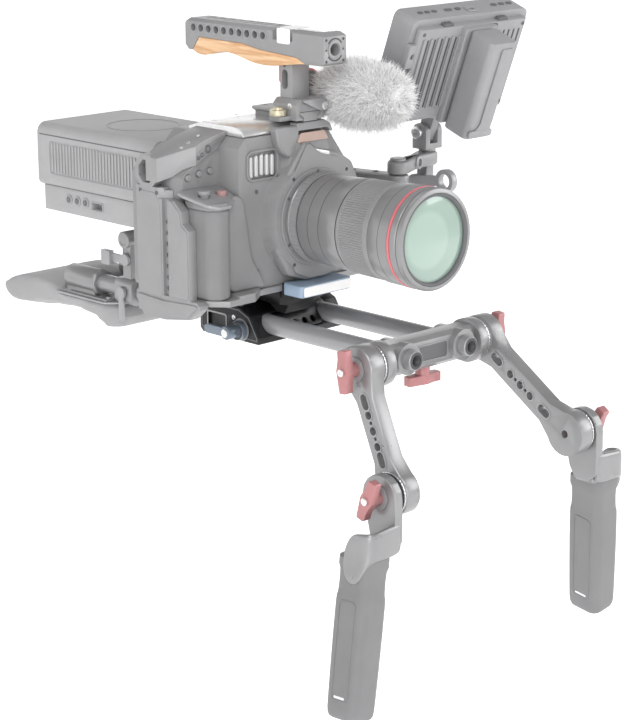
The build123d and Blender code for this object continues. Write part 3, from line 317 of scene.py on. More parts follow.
def plate(name, loops, where, depth, body, mat, edge=0.3, segments=2):
    """A flat plate with holes: the first loop is its outline. It rises from the plane by its depth."""
    curve = bpy.data.curves.new(name, "CURVE")
    curve.dimensions = "2D"
    curve.fill_mode = "BOTH"
    curve.extrude = max(0.00001, (depth / 2 - edge) * MM)
    curve.bevel_depth = edge * MM
    curve.bevel_resolution = segments
    curve.offset = -edge * MM
    for loop in loops:
        spline = curve.splines.new("POLY")
        spline.points.add(len(loop) - 1)
        for point, (x, y) in zip(spline.points, loop):
            point.co = (x * MM, y * MM, 0, 1)
        spline.use_cyclic_u = True
    shape = linked(name + "_curve", curve)
    mesh = baked(shape)
    bpy.data.objects.remove(shape)
    form = bmesh.new()
    form.from_mesh(mesh)
    bmesh.ops.remove_doubles(form, verts=form.verts, dist=0.000001)
    bmesh.ops.recalc_face_normals(form, faces=form.faces)
    form.to_mesh(mesh)
    form.free()
    mesh.transform(where @ Matrix.Translation((0, 0, depth / 2 * MM)))
    if where.determinant() < 0:
        mesh.flip_normals()
    mesh.name = name
    shade(mesh, 40)
    return put(name, mesh, body, mat)


def arc(x, y, r, turns):
    """Points on a circle at the given turns in degrees."""
    return [(x + r * math.cos(math.radians(a)), y + r * math.sin(math.radians(a))) for a in turns]


def ring(x, y, r, count=40):
    return arc(x, y, r, [360 * i / count for i in range(count)])


def rounded(x, y, width, height, r, steps=6):
    """A rounded rectangle about its centre."""
    out = []
    for cx, cy, start in ((1, 1, 0), (-1, 1, 90), (-1, -1, 180), (1, -1, 270)):
        out += arc(x + cx * (width / 2 - r), y + cy * (height / 2 - r), r, [start + 90 * i / steps for i in
            range(steps + 1)])
    return out


def slot_loop(x, y, length, width, turn=0.0, steps=10):
    """A slot with round ends, its length along local x before the turn in degrees."""
    half, r, a = length / 2 - width / 2, width / 2, math.radians(turn)
    raw = [(half + r * math.cos(t), r * math.sin(t)) for t in [math.radians(-90 + 180 * i / steps) for i in
        range(steps + 1)]]
    raw += [(-px, -py) for px, py in raw]
    return [(x + px * math.cos(a) - py * math.sin(a), y + px * math.sin(a) + py * math.cos(a)) for px, py in
        raw]


def soften(points, radius, steps=5):
    """Rounds the corners of an outline by a radius, or by as much as its sides allow."""
    out = []
    count = len(points)
    for i, point in enumerate(points):
        here = Vector(point)
        before, after = Vector(points[i - 1]) - here, Vector(points[(i + 1) % count]) - here
        turn = math.pi - before.angle(after)
        reach = min(radius * math.tan(turn / 2), before.length * 0.48, after.length * 0.48)
        if reach < 0.02:
            out.append(tuple(here))
            continue
        start, end = here + before.normalized() * reach, here + after.normalized() * reach
        for k in range(steps + 1):
            t = k / steps
            spot = start * (1 - t) ** 2 + here * 2 * t * (1 - t) + end * t ** 2
            out.append(tuple(spot))
    return out


def lathe(name, profile, origin, axis, body, mat, sides=96, closed=True, wave=None):
    """Turns a profile of (radius, distance along the axis) round an axis. wave alters the radius."""
    axis = Vector(axis).normalized()
    side = axis.orthogonal().normalized()
    up = axis.cross(side)
    form = bmesh.new()
    rows = []
    for i in range(sides):
        a = 2 * math.pi * i / sides
        out = side * math.cos(a) + up * math.sin(a)
        row = []
        for r, t in profile:
            r += wave(r, t, i) if wave else 0
            row.append(form.verts.new((Vector(origin) + axis * t + out * r) * MM))
        rows.append(row)
    spin(form, rows, closed)
    return put(name, mesh_from(form, name, 30), body, mat)


def screw(name, centre, axis, r, body, mat="bright", height=1.0, socket=True, slot=None):
    """A cap or button screw head with a hexagon socket, standing on its seat."""
    def hexagon(q, t, i):
        a = math.pi * i / 12 % (math.pi / 3) - math.pi / 6
        return q * (math.cos(math.pi / 6) / math.cos(a) - 1) if q == r * 0.5 else 0
    profile = [(0.0, 0.55 * height), (r * 0.5, 0.55 * height), (r * 0.5, height), (r * 0.82, height),
        (r, height * 0.75), (r, 0.0), (0.0, 0.0)]
    if not socket:
        profile = [(0.0, height), (r * 0.6, height * 0.97), (r * 0.88, height * 0.8), (r, height * 0.45),
            (r, 0.0), (0.0, 0.0)]
    return lathe(name, profile, centre, axis, body, mat, 24, False, hexagon)


def screws(name, spots, *given, **named):
    """Screws of one kind, numbered in the order of their centres."""
    for k, spot in enumerate(spots):
        screw("%s_%d" % (name, k), spot, *given, **named)


# ---------------------------------------------------------------- CAD forms with rounded edges
SHARP = {node: width for width, group in ((1.2,
    "camera_body handle_wood right_arm_knob left_arm_knob right_grip_knob left_grip_knob swivel_post"),
    (1.6, "battery monitor_battery"), (1.0, "battery_plate bar_knob"), (0.9, "monitor_body cage_right"),
    (0.7, "cage_left cage_floor baseplate right_arm left_arm handle_body"),
    (0.8, "crossbar release_plate rear_clamp top_cover"), (0.5, "pad_plate"), (0.6, "handle_clamp"),
    (2.0, "arm_base")) for node in group.split()}
KEPT = set(("image_sensor lens_glass function_button_1 function_button_2 function_button_3 rear_display "
    "monitor_screen focus_ring control_ring lens_mount rods record_button windscreen shoulder_pad "
    "lens_barrel arm_link right_grip left_grip camera_grip right_bracket left_bracket").split())
for node, cad in nodes.items():
    paint(cad.data, SOURCE_SLOTS[node])
    if node not in KEPT:
        refined(node, SHARP.get(node, 0.35), mat="base_black" if node == "release_plate" else None)


# ---------------------------------------------------------------- lens
LENS = (0, 0, 98)
FORWARD, RIGHT, UPWARD = (0, -1, 0), (-1, 0, 0), (0, 0, 1)


def groove(t, r, depth=0.45, width=0.5):
    """Four profile points of a narrow groove in a turned surface."""
    return [(r, t - width / 2 - 0.1), (r - depth, t - width / 2), (r - depth, t + width / 2),
        (r, t + width / 2 + 0.1)]


def ribs(first, last, every, low, high):
    """Ribs along the axis: lowers every second pair of sides between two profile distances."""
    return lambda r, t, i: -0.55 if first < t < last and low < r < high and i % every < every / 2 else 0


barrel = [(24, 51.2), (35, 51.2), (35.2, 53.8), (34.6, 54.6), (31.4, 54.9), (31.4, 63.5), (35.0, 63.8)]
barrel += groove(75, 35.2) + groove(87, 35.5) + [(35.8, 93), (36.6, 104.8), (36.3, 105.5), (34.4, 105.9),
    (34.4, 141), (37.8, 141.2), (38.1, 141.8)]
barrel += groove(152, 38.3, 0.25, 0.35) + [(38.5, 161.2), (37.9, 161.6), (37.9, 164.4), (38.6, 164.9),
    (38.7, 169.6), (38.1, 170.2), (38.1, 171), (38.7, 171.6), (38.6, 174.2), (38.1, 175.1), (36.4, 175.9),
    (35.2, 176), (34.9, 175.7), (34.7, 174.6), (34.3, 168), (33.4, 165.3), (26, 165.2), (22, 60)]
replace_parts(lathe("lens_look", barrel, LENS, FORWARD, "camera", "lens_grey", 160), "lens_barrel")
lathe("lens_red_ring", [(38.0, 161.9), (38.75, 162.2), (38.75, 163.8), (38.0, 164.1)], LENS, FORWARD,
    "camera", "ring_red", 160)
lathe("lens_front_rim", [(32.3, 171.5), (32.4, 174.4), (33.2, 175.4), (34.6, 175.6), (34.7, 171.5)], LENS,
    FORWARD, "camera", "dark", 128)
# painted shade: dark rings set into the grooves and into the joints between the lens rings
for k, (t, r) in enumerate(((54.9, 34.0), (63.6, 35.0), (75, 34.95), (87, 35.25), (105.7, 36.2),
        (141.05, 37.6), (152, 38.2), (171, 38.3))):
    lathe("lens_line_%d" % k, [(r - 0.8, t - 0.32), (r + 0.06, t - 0.32), (r + 0.06, t + 0.32),
        (r - 0.8, t + 0.32)], LENS, FORWARD, "camera", "darker", 128)
focus = [(34.8, 106.5), (36.3, 106.5), (36.6, 106.9), (36.6, 109.5), (36.7, 110), (37.3, 134.6),
    (37.3, 135.2), (37.5, 140.0), (37.2, 140.5), (34.8, 140.5)]
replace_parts(lathe("focus_look", focus, LENS, FORWARD, "focus_ring", "ring_dark", 480,
    wave=ribs(109.7, 135, 4, 36, 39)), "focus_ring")
control = [(31.8, 55.5), (35.8, 55.5), (36.2, 55.9), (36.3, 57), (36.3, 62), (36.0, 62.9), (31.8, 62.9)]
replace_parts(lathe("control_look", control, LENS, FORWARD, "control_ring", "ring_dark", 240,
    wave=ribs(56.5, 62.5, 4, 36, 37)), "control_ring")


def dome(radius, apex, curve):
    """Profile of a glass element with a convex front."""
    face = [(radius * k / 12, apex - curve + math.sqrt(curve ** 2 - (radius * k / 12) ** 2)) for k in
        range(13)]
    return face + [(radius, apex - 7), (0, apex - 7)]


for name, shape, sides in (("glass_front", (32.6, 175.5, 190), 96), ("glass_inner", (24, 124.9, 70), 72),
        ("glass_rear", (22.3, 79.9, 70), 72)):
    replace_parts(lathe(name, dome(*shape), LENS, FORWARD, "camera", "glass", sides), "lens_glass")
mount = [(25.2, 49.1), (38.4, 49.1), (38.4, 50.6), (38.0, 51.0), (25.6, 51.0), (25.2, 50.7)]
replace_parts(lathe("mount_look", mount, LENS, FORWARD, "camera", "camera_grey", 120),
    "lens_mount")
for k in range(6):
    turn = math.radians(30 + 60 * k)
    screw("mount_screw_%d" % k, (36.3 * math.cos(turn), -51, 98 + 36.3 * math.sin(turn)), FORWARD, 1.3,
        "camera", "dark", 0.4)
screws("housing_screw", [(x, -49.1, z) for x, z in ((-24, 130), (33, 131), (-24, 63), (37, 65))], FORWARD,
    1.4, "camera", "darker", 0.4)

# ---------------------------------------------------------------- camera front
FRONT = front(-35)
plate("vent_back", [rounded(-43.5, 142, 30, 21, 5)], front(-31.2), 0.8, "camera", "ring_dark", 0.1)
for k in range(5):
    plate("vent_rib_%d" % k, [rounded(-54.5 + 5.5 * k, 142 - 0.5 * abs(k - 2), 3.0, 16.5, 1.4)], front(-31.8),
        3.0, "camera", "vent_bar", 0.9, segments=3)
plate("vent_frame", [rounded(-43.5, 142, 33.4, 24.2, 6.6), rounded(-43.5, 142, 29.4, 20.4, 4.8)[::-1]], FRONT,
    0.9, "camera", "camera_grey", 0.4)
plate("window_glass", [soften([(-14, 156), (-10, 163.4), (15, 163.4), (20, 156)], 1.6)], front(-42.0), 1.0,
    "camera", "window", 0.3)
plate("blank_strip", [soften([(-7, 148.2), (16, 142.4), (16, 147.0), (-7, 152.8)], 1.2)], front(-46.9), 0.7,
    "camera", "cover_bright", 0.25)
plate("front_brow", [soften([(-36, 168), (-33, 156), (-29, 150), (-23, 146), (-16.5, 146.5), (-13.5, 158),
    (-11, 165), (-13, 169.5), (-34, 170)], 3)], front(-34.6), 8.0, "camera", "cage_grey", 1.6, segments=3)
plate("front_lip", [soften([(-14, 165), (19, 165), (22, 161.5), (25, 161.5), (22, 168), (16, 171.4),
    (-13, 171.4)], 1.2)], front(-33.6), 9.0, "camera", "cage_grey", 1.0)
BEZEL = [(-8, 157), (-21, 137), (-31, 117), (-33, 96), (-31, 76), (-22, 56), (-8, 50), (12, 50), (38, 58),
    (46, 78), (46, 112), (36, 132), (24, 142), (6, 147), (-2, 152)]
plate("mount_bezel", [soften(BEZEL, 7), ring(0, 98, 37.8, 72)[::-1]], front(-47.4), 1.8, "camera",
    "camera_grey", 0.7, segments=3)
plate("mount_hollow", [soften([(-8, 157), (-23, 139), (-38, 118), (-43, 96), (-39, 74), (-26, 54), (-8, 48),
    (12, 48), (44, 54), (52, 78), (52, 114), (42, 136), (26, 146), (6, 150), (-2, 155)], 8)], front(-34.5),
    12.6, "camera", "camera_grey", 3.0, segments=4)
screws("body_screw", [(x, -35, z) for x, z in ((-50, 60), (48, 60), (52, 104), (-50, 122))], FORWARD, 1.7,
    "camera", "dark", 0.5)
GRIP_PLAN = [(-105, -11), (-105.4, -26), (-104.6, -39), (-98, -46.6), (-89, -47.2), (-84.6, -42),
    (-83.4, -34), (-83.4, -11)]
grip_block = plate("camera_grip_look", [soften(GRIP_PLAN, 9, 8)], above(46.2), 68.8, "camera", "grip_grey",
    2.6, segments=4)
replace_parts(grip_block, "camera_grip")
TOP_PLAN = [(-111, -12.4), (-111, -20), (-107.6, -33), (-104, -43), (-97, -48.6), (-86, -48.8), (-76, -40),
    (-69.6, -31), (-68.6, -12.4)]
plate("grip_top_look", [soften(TOP_PLAN, 6, 6), ring(-78.5, -27.4, 4.3, 32)[::-1],
    ring(-96, -27.4, 3.8, 32)[::-1]], plane((0, 0.2, 128.2), (1, 0, 0), (0, 1, 0.27)), 2.6, "camera",
    "lever_steel", 0.9, segments=3)
neck_plan = [(x * 0.985 - 1.3, y * 0.97 - 0.6) for x, y in GRIP_PLAN]
plate("grip_neck_look", [soften(neck_plan, 8, 6)], above(114.6), 5.6, "camera", "camera_grey", 1.4,
    segments=3)

plate("front_swell", [soften([(-82, 48), (-82, 116), (-74, 124), (-66, 118), (-62, 96), (-58, 72), (-48, 56),
    (-44, 48)], 8, 8)], front(-34.6), 4.2, "camera", "camera_grey", 2.0, segments=4)

# rear display frame, left-side port covers and the battery door of the camera
plate("display_frame", [rounded(18, 103, 124, 76, 5), rounded(18, 103, 112, 64, 3)[::-1]], rear(48.2), 1.2,
    "camera", "camera_grey", 0.4)
for k, z in enumerate((62, 80, 98)):
    plate("port_cover_%d" % k, [rounded(33, z, 22, 15, 3)], left(61.9), 0.9, "camera", "camera_grey", 0.4)
plate("card_door", [rounded(-4, 84, 30, 52, 4)], right(-103.9), 0.8, "camera", "camera_grey", 0.35)

# ---------------------------------------------------------------- cage
for k in range(7):
    lathe("strip_ring_%d" % k, [(1.9, 0), (2.7, 0), (2.7, 0.35), (1.9, 0.35)], (-110.05, -1, 51 + 8.6 * k),
        RIGHT, "camera", "cage_grey", 24)
screws("cage_screw", [(-112.95, y, 124) for y in (8, 27)], RIGHT, 1.7, "camera", "dark", 0.4)
POST_FACE = left(-112.6) @ Matrix.Scale(-1, 4, (0, 0, 1))
plate("post_face", [soften([(31, 44), (31, 118), (26, 124), (10, 124), (4.6, 116), (3.4, 44)], 3)], POST_FACE,
    0.9, "camera", "cage_grey", 0.4)
plate("post_foot", [soften([(33, 43), (33, 39), (26, 28), (1, 28.5), (-27, 33), (-37, 41.5), (-35, 43.4),
    (3, 41.5)], 2)], POST_FACE, 1.6, "camera", "cage_grey", 0.6)
plate("flange_face", [soften([(-5.4, 46), (-5.4, 121), (-10.5, 119), (-18.5, 111.5), (-19.6, 103),
    (-26.6, 98), (-26.8, 46)], 3)], POST_FACE, 1.3, "camera", "cage_grey", 0.6)
screws("left_hole", [(x, -22.05, z) for x, z in ((66.2, 120.4), (58.2, 131.4), (50.2, 142.4), (42.4, 153.4))],
    FORWARD, 1.5, "camera", "bright", 0.3)
screws("arch_hole", [(x, -2, 157.4 + (x + 96) * 0.42) for x in (-96, -89, -79)], (-0.4, 0, 1), 1.6, "camera",
    "bright", 0.5)
for k, (x, z, r) in enumerate(((-80, 156.2, 2.8), (-86.5, 152.6, 1.5), (-89.5, 150.6, 1.2))):
    lathe("arch_eye_%d" % k, [(0, 0.05), (r * 0.6, 0.05), (r * 0.6, 0.4), (r, 0.5), (r + 0.7, 0.1),
        (r + 0.7, -0.4), (0, -0.4)], (x, -14, z), FORWARD, "camera", "dark", 28)
plate("arch_recess", [soften([(-90, 149.4), (-84, 152.4), (-70, 158.6), (-63, 162.2), (-63, 164.4),
    (-71, 162.6), (-84.5, 157.2), (-90, 154.4)], 1.5)], front(-14), 0.35, "camera", "arm_grey", 0.15)
screws("cover_screw", [(x, y, 172) for x, y in ((-50, -8), (-50, 12), (10, 20), (-20, 20))], UPWARD, 2.0,
    "camera", "bright", 0.3)

# ---------------------------------------------------------------- base
SIDE = right(-47)
# painted highlight: a pale outline along the edge of the recess in the black base
plate("recess_rim_highlight", [rounded(-16, 12, 23.4, 13.4, 2.2), rounded(-16, 12, 20.8, 10.8, 1.6)[::-1]], SIDE, 0.35,
    "base", "lever_steel", 0.12)
lathe("hub_disc", [(3.3, 0), (8.9, 0), (8.9, 0.3), (8.0, 0.3), (7.8, 0.1), (3.3, 0.1)], (-47, -12, 9),
    RIGHT, "base", "lever_steel", 48)
# painted highlight: a paler grey band along the edges of each side face of the black base
for side in (-1, 1):
    plate("base_edge_%d" % side, [soften([(31, 2), (30.6, 4.9), (21, 20.2), (9.6, 24.8), (-27, 24.8),
        (-34.4, 19.4), (-34.4, 4)], 1.0), soften([(29.6, 3), (29.4, 5), (20.2, 19.2), (9.3, 23.7),
        (-26.6, 23.7), (-33.3, 18.8), (-33.3, 5)], 1.0)[::-1]], plane((side * 46.95, 0, 0), (0, side, 0),
        (0, 0, 1)) @ Matrix.Scale(side, 4, (1, 0, 0)) @ Matrix.Scale(-1, 4, (1, 0, 0)), 0.25, "base", "dark",
        0.08)
screw("base_screw_right", (-47, -4, 17.5), RIGHT, 2.0, "base", "bright", 0.6)
lathe("lever_hub", [(0, 0), (3.4, 0), (3.4, 0.9), (2.6, 1.3), (0, 1.3)], (-64, -12, 9), RIGHT,
    "rod_lock_lever", "bright", 40)
lathe("lever_washer", [(5.6, 0), (7.3, 0), (7.3, 0.3), (5.6, 0.3)], (-52.4, -12, 9), RIGHT,
    "rod_lock_lever", "darker", 40)
screws("base_cap", [(x, y, 26) for y in (24, -4) for x in (-40, 40)], UPWARD, 2.6, "base", "lever_steel", 0.5,
    slot="mount_metal")
screws("foot_cap", [(x, y, 0.4) for y in (-24, 26) for x in (-38, 38)], (0, 0, -1), 3.0, "base", "lever_steel",
    0.3, slot="mount_metal")
plate("plate_nose", [rounded(0, -49.6, 54.8, 23.2, 4)], above(38.4), 9.3, "camera", "plate_pale_blue", 0.8)
# painted highlight: a white band across the front face of the plate's nose
plate("plate_edge_highlight", [rounded(0, 43, 51, 7.6, 1.6)], front(-61.1), 0.6, "camera", "white", 0.25)
for side in (-1, 1):
    for y, body in ((-153.2, "crossbar"), (150.2, "rear_clamp")):
        lathe("rod_collar_%d_%d" % (side, y), [(7.55, 0), (9.6, 0), (9.6, 1.0), (9.0, 1.6), (7.55, 1.6)],
            (side * 30, y, 13), (0, 1, 0), body, "clamp_grey", 48)
    lathe("rod_mouth_%d" % side, [(4.4, 0), (7.0, 0), (7.0, 0.4), (5.4, 0.8), (4.4, 0.8)],
        (side * 30, -184.5, 13), FORWARD, "base", "darker", 48)

# ---------------------------------------------------------------- handlebar, arms and knobs
plate("bar_blank", [rounded(0, 12.5, 31, 11, 2)], front(-173), 0.5, "crossbar", "dark", 0.2)
plate("bar_blank_rim", [rounded(0, 12.5, 33, 13, 2.8), rounded(0, 12.5, 31.2, 11.2, 2)[::-1]], front(-173),
    0.8, "crossbar", "arm_grey", 0.25)
for side in (-1, 1):
    lathe("rod_boss_%d" % side, [(7.7, -1.5), (10.4, -1.5), (10.4, 1.6), (9.6, 2.4), (8.0, 2.4), (7.7, 2.1)],
        (side * 30, -173, 13), FORWARD, "crossbar", "dark", 64)
PIVOT_Y, PIVOT_Z = -164, 11
SPLAY = math.radians(11)
ROSETTE = [(0, 0), (16.4, 0), (16.4, 0.7), (15.4, 1.0), (14.6, 1.0), (14.2, 0.6), (0, 0.6)]


def teeth(r, t, i):
    return -0.3 if r > 14 and i % 4 < 2 else 0


ARMS = {}
for side, name, length, lean in ((-1, "right", 94, 23.0), (1, "left", 107, 56.5)):
    a = math.radians(lean)
    low = (PIVOT_Y - length * math.sin(a), PIVOT_Z - length * math.cos(a))
    ARMS[name] = (side, low)
    out = (side, 0, 0)
    lathe(name + "_bar_rosette", ROSETTE, (side * 56.2, PIVOT_Y, PIVOT_Z), out, "crossbar", "bright", 144,
        wave=teeth)
    lathe(name + "_low_rosette", ROSETTE, (side * 74.0, low[0], low[1]), out, name + "_arm", "bright", 144,
        wave=teeth)
    for knob, x, y, z in (("_arm_knob", 73.2, PIVOT_Y, PIVOT_Z), ("_grip_knob", 86.0, low[0], low[1])):
        lathe(name + knob + "_washer", [(5.7, 0.05), (9.4, 0.05), (9.4, 0.9), (5.7, 0.9)], (side * x, y, z),
            out, name + knob, "lever_steel", 48)
        screw(name + knob + "_centre", (side * (x + 14.1), y, z), out, 2.9, name + knob, "bright", 1.4,
            slot="mount_metal")
    along = Vector((0, -math.sin(a), -math.cos(a)))
    inner = plane((side * 59.75, PIVOT_Y, PIVOT_Z), along, (0, along.z * side, -along.y * side))
    outer_face = plane((side * 72.85, PIVOT_Y, PIVOT_Z), along, (0, -along.z * side, along.y * side))
    for tag, face in (("in", inner), ("out", outer_face)):
        for k, spot in enumerate((25, length - 25)):
            plate("%s_slot_%s_%d" % (name, tag, k), [slot_loop(spot, 0, 14.4, 8.9),
                slot_loop(spot, 0, 12.2, 6.7)[::-1]], face, 0.35, name + "_arm", "lever_steel", 0.12)
        for k, spot in enumerate((length / 2 - 12, length / 2, length / 2 + 12)):
            plate("%s_eye_%s_%d" % (name, tag, k), [ring(spot, 0, 4.1, 32), ring(spot, 0, 3.2, 32)[::-1]],
                face, 0.3, name + "_arm", "lever_steel", 0.1)


# ---------------------------------------------------------------- hand grips
def grip_look(name, tilt):
    """A soft-edged grip with a raised panel outline, a groove and a bright slot near its end."""
    side, low = ARMS[name]
    lean = math.radians(tilt)
    down = Vector((side * math.sin(SPLAY), math.sin(lean), -math.cos(SPLAY) * math.cos(lean)))
    down.normalize()
    across = (Vector((1, 0, 0)) - down * down.x).normalized()
    fore = down.cross(across)
    top = Vector((side * (77.6 + 20.4), low[0] + 1, low[1] - 35))
    span = 126.5
    form = bmesh.new()
    rows = []
    # how thick the grip is along its length, both as a share of the whole
    stops = [(0, 1.0), (0.06, 1.02), (0.105, 1.02), (0.135, 0.95), (0.19, 0.93), (0.25, 0.94), (0.275, 0.955),
        (0.29, 0.985), (0.32, 0.995), (0.5, 1.0), (0.7, 1.0), (0.87, 1.0), (0.94, 0.99), (0.972, 0.965),
        (0.991, 0.9), (1.0, 0.78)]
    for t, grow in stops:
        width, depth = 27 * grow, (32 - t) * grow
        bulge = 1.2 * math.sin(math.pi * min(1, t * 1.15)) * grow
        loop = rounded(0, 0, width, depth + bulge, 7.6 * grow, 7)
        rows.append([form.verts.new((top + down * (span * t) + across * x + fore * y) * MM) for x, y in loop])
    bridge(form, rows)
    piece = put(name + "_grip_look", mesh_from(form, name + "_grip_look"), name + "_handgrip", "grip_grey")
    form = bmesh.new()
    bmesh.ops.create_cube(form, size=1)
    bmesh.ops.scale(form, vec=(0.09, 0.09, 0.0304), verts=form.verts)
    bmesh.ops.translate(form, vec=Vector((side * 95.6, low[0], low[1] - 25.8)) * MM, verts=form.verts)
    blade = linked("cutter", mesh_from(form, "cutter"))
    cut = piece.modifiers.new("cut", "BOOLEAN")
    cut.operation = "DIFFERENCE"
    cut.solver = "EXACT"
    cut.object = blade
    apply(piece)
    bpy.data.objects.remove(blade)
    paint(piece.data, "grip_grey")
    shade(piece.data, 40)
    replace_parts(piece, name + "_grip")
    for tag, way in (("out", 1), ("in", -1)):
        normal = across * side * way
        centre = top + down * (span * 0.6) + normal * 13.35
        face = plane(centre, fore, normal.cross(fore))
        turned = normal.cross(fore).dot(down)
        plate("%s_panel_%s" % (name, tag), [rounded(0, 0, 17, 74, 4), rounded(0, 0, 15, 72, 3.2)[::-1]], face,
            0.55, name + "_handgrip", "grip_grey", 0.2)
        plate("%s_slot_%s" % (name, tag), [slot_loop(0, 34.4 * (1 if turned > 0 else -1), 11, 2.0)], face,
            0.35, name + "_handgrip", "bright", 0.12)
    return piece


def bracket_look(name, tilt):
    """A rounded head plate whose foot runs into a band that wraps round the top of the grip."""
    side, low = ARMS[name]
    head = plate(name + "_head_look", [soften([(-16.9, 0), (-16.9, -33), (-9, -39.5), (4, -39.5), (9.5, -30),
        (12, -20), (16.5, -6), (16.9, 0), (15.6, 6.5), (11.9, 11.9), (6.5, 15.6), (0, 16.9), (-6.5, 15.6),
        (-11.9, 11.9), (-15.6, 6.5)], 6, 6)], plane((side * 77.65, low[0], low[1]), (0, 1, 0), (0, 0, 1)) @
        Matrix.Scale(side, 4, (0, 0, 1)), 7.9, name + "_handgrip", "arm_grey", 1.0, segments=3)
    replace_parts(head, name + "_bracket")
    path = [(79.5, -14.5, -17, -39), (82, -15.2, -17, -40), (88, -15.6, -17.5, -41), (96, -15.6, -18, -41),
        (103, -15.6, -18.5, -41), (106.5, -15.2, -18.8, -41.4), (109, -13.6, -19, -43.5),
        (110.4, -11, -19.3, -51), (110.9, -8, -19.6, -56), (111.0, -5.2, -20.2, -58.4), (111.0, -2, -21, -59),
        (111.0, 1, -22.5, -58.6), (111.0, 4, -25.5, -56.6), (111.0, 6.6, -31, -52), (111.0, 8, -37, -46)]
    out_tilt, rear_tilt = math.tan(SPLAY), math.tan(math.radians(tilt))
    form = bmesh.new()
    rows = []
    for i, (x, y, high, deep) in enumerate(path):
        before, after = path[max(0, i - 1)], path[min(len(path) - 1, i + 1)]
        run = Vector((after[0] - before[0], after[1] - before[1], 0)).normalized()
        normal = Vector((-run.y, run.x, 0))
        row = []
        steps = 5
        for half in (1, -1):
            for k in range(steps + 1):
                f = k / steps
                z = (deep + (high - deep) * f) if half < 0 else (high + (deep - high) * f)
                inset = 0.7 if k in (0, steps) else 0
                lean = max(0, -36 - z)
                spot = Vector((x + lean * out_tilt * (x - 79) / 32, y + lean * rear_tilt * 0.6, z))
                spot += normal * half * (2.5 - inset)
                row.append(form.verts.new(Vector((side * spot.x, low[0] + spot.y, low[1] + spot.z)) * MM))
        rows.append(row)
    bridge(form, rows)
    band = put(name + "_band_look", mesh_from(form, name + "_band_look"), name + "_handgrip", "arm_grey")
    rounder = band.modifiers.new("smooth", "SUBSURF")
    rounder.levels = rounder.render_levels = 2
    apply(band)
    shade(band.data, 50)
    floor_plan = soften([(80, -13), (108, -13), (108, 6), (80, 6)], 4)
    plate(name + "_seat_look", [floor_plan if side > 0 else [(-x, y) for x, y in floor_plan]], plane((0,
        low[0], low[1] - 41), (1, 0, 0), (0, 1, 0)), 3.6, name + "_handgrip", "arm_grey", 0.6)


for name, tilt in (("right", -3.5), ("left", 8.5)):
    grip_look(name, tilt)
    bracket_look(name, tilt)

# ---------------------------------------------------------------- top handle
for side in (-1, 1):
    for k in range(10):
        lathe("handle_eye_%d_%d" % (side, k), [(2.9, 0), (3.9, 0), (3.9, 0.35), (3.0, 0.5)],
            (side * 12, 78 - 9 * k, 235), (side, 0, 0), "handle", "lever_steel", 28)
plate("handle_insert", [rounded(26.4, 236.6, 14.5, 12, 1.8)], right(-12), 0.6, "handle", "white", 0.25)
plate("handle_insert_top", [rounded(0, -26.4, 20, 15, 2)], above(242), 0.8, "handle", "white", 0.3)
# a raised bar on the handle top; its bright tone is a painted chamfer highlight
plate("handle_highlight_bar", [rounded(0, -52, 17, 24, 1.5)], above(242), 0.9, "handle", "bright", 0.3)
face = plane((0, -70, 229), (1, 0, 0), (0, 0, 1))
plate("handle_front_disc", [ring(0, 0, 7.2, 48), ring(0, 0, 5.2, 48)[::-1]], face, 0.5, "handle", "cage_grey",
    0.15)
# painted shade: dark arcs standing for the arc slots round the hole in the handle's end face
for k, start in enumerate((35, 215)):
    turns = [start + 110 * i / 14 for i in range(15)]
    plate("handle_arc_%d" % k, [arc(0, 0, 8.9, turns) + arc(0, 0, 7.9, turns[::-1])], face, 0.3, "handle",
        "darker", 0.1)
# painted shade: small dark buttons standing for the locating holes in the handle's end face
screws("handle_hole_shade", [(x, -70, 229 + z) for z in (7.6, -8.6) for x in (-9, 9)], FORWARD, 1.1, "handle",
    "darker", 0.25)
lathe("lever_pivot", [(0, 0), (3.2, 0), (3.2, 0.5), (2.2, 0.9), (0, 0.9)], (12, -46.8, 183), FORWARD,
    "handle_lever", "bright", 36)
screw("clamp_screw_a", (-15, -36, 184), RIGHT, 2.2, "handle", "bright", 0.6)
screw("clamp_screw_b", (15, -30, 184), (1, 0, 0), 2.2, "handle", "bright", 0.6)
lathe("neck_eye_rim", [(0.2, 0), (1.2, 0), (1.2, 0.3), (0.2, 0.3)], (-9.05, -24, 213.6), RIGHT, "handle",
    "darker", 20)

# ---------------------------------------------------------------- microphone cover
random.seed(7)
MIC = (41, 0, 190)


def fur(name, count, longest, tint, start):
    """Tapered, slightly curled strands that stand out from an egg-shaped cover."""
    form = bmesh.new()
    centre = Vector((MIC[0], MIC[1] - 60, MIC[2]))
    for _ in range(count):
        z = random.uniform(-1, 1)
        t = random.uniform(0, 2 * math.pi)
        flat = math.sqrt(1 - z * z)
        unit = Vector((flat * math.cos(t), z, flat * math.sin(t)))
        normal = Vector((unit.x / 22, unit.y / 43, unit.z / 22)).normalized()
        foot = Vector((unit.x * 21, unit.y * 42, unit.z * 21))
        if foot.y > 40:
            continue
        sway = Vector((random.gauss(0, 1), random.gauss(0, 1), random.gauss(0, 1) - 0.25)) * 0.33
        length = longest * random.uniform(0.6, 1.0)
        mid = foot + (normal + sway * 0.45).normalized() * length * 0.55
        tip = mid + (normal + sway * 1.5).normalized() * length * 0.5
        side = normal.orthogonal().normalized()
        other = normal.cross(side)
        rows = []
        for spot, wide in ((foot, start), (mid, start * 0.6)):
            rows.append([form.verts.new((centre + spot + (side * math.cos(k * 2.094) + other *
                math.sin(k * 2.094)) * wide) * MM) for k in range(3)])
        end = form.verts.new((centre + tip) * MM)
        for k in range(3):
            j = (k + 1) % 3
            form.faces.new((rows[0][k], rows[0][j], rows[1][j], rows[1][k]))
            form.faces.new((rows[1][k], rows[1][j], end))
    for face in form.faces:
        face.smooth = True
    return put(name, mesh_from(form, name), "windscreen", tint)


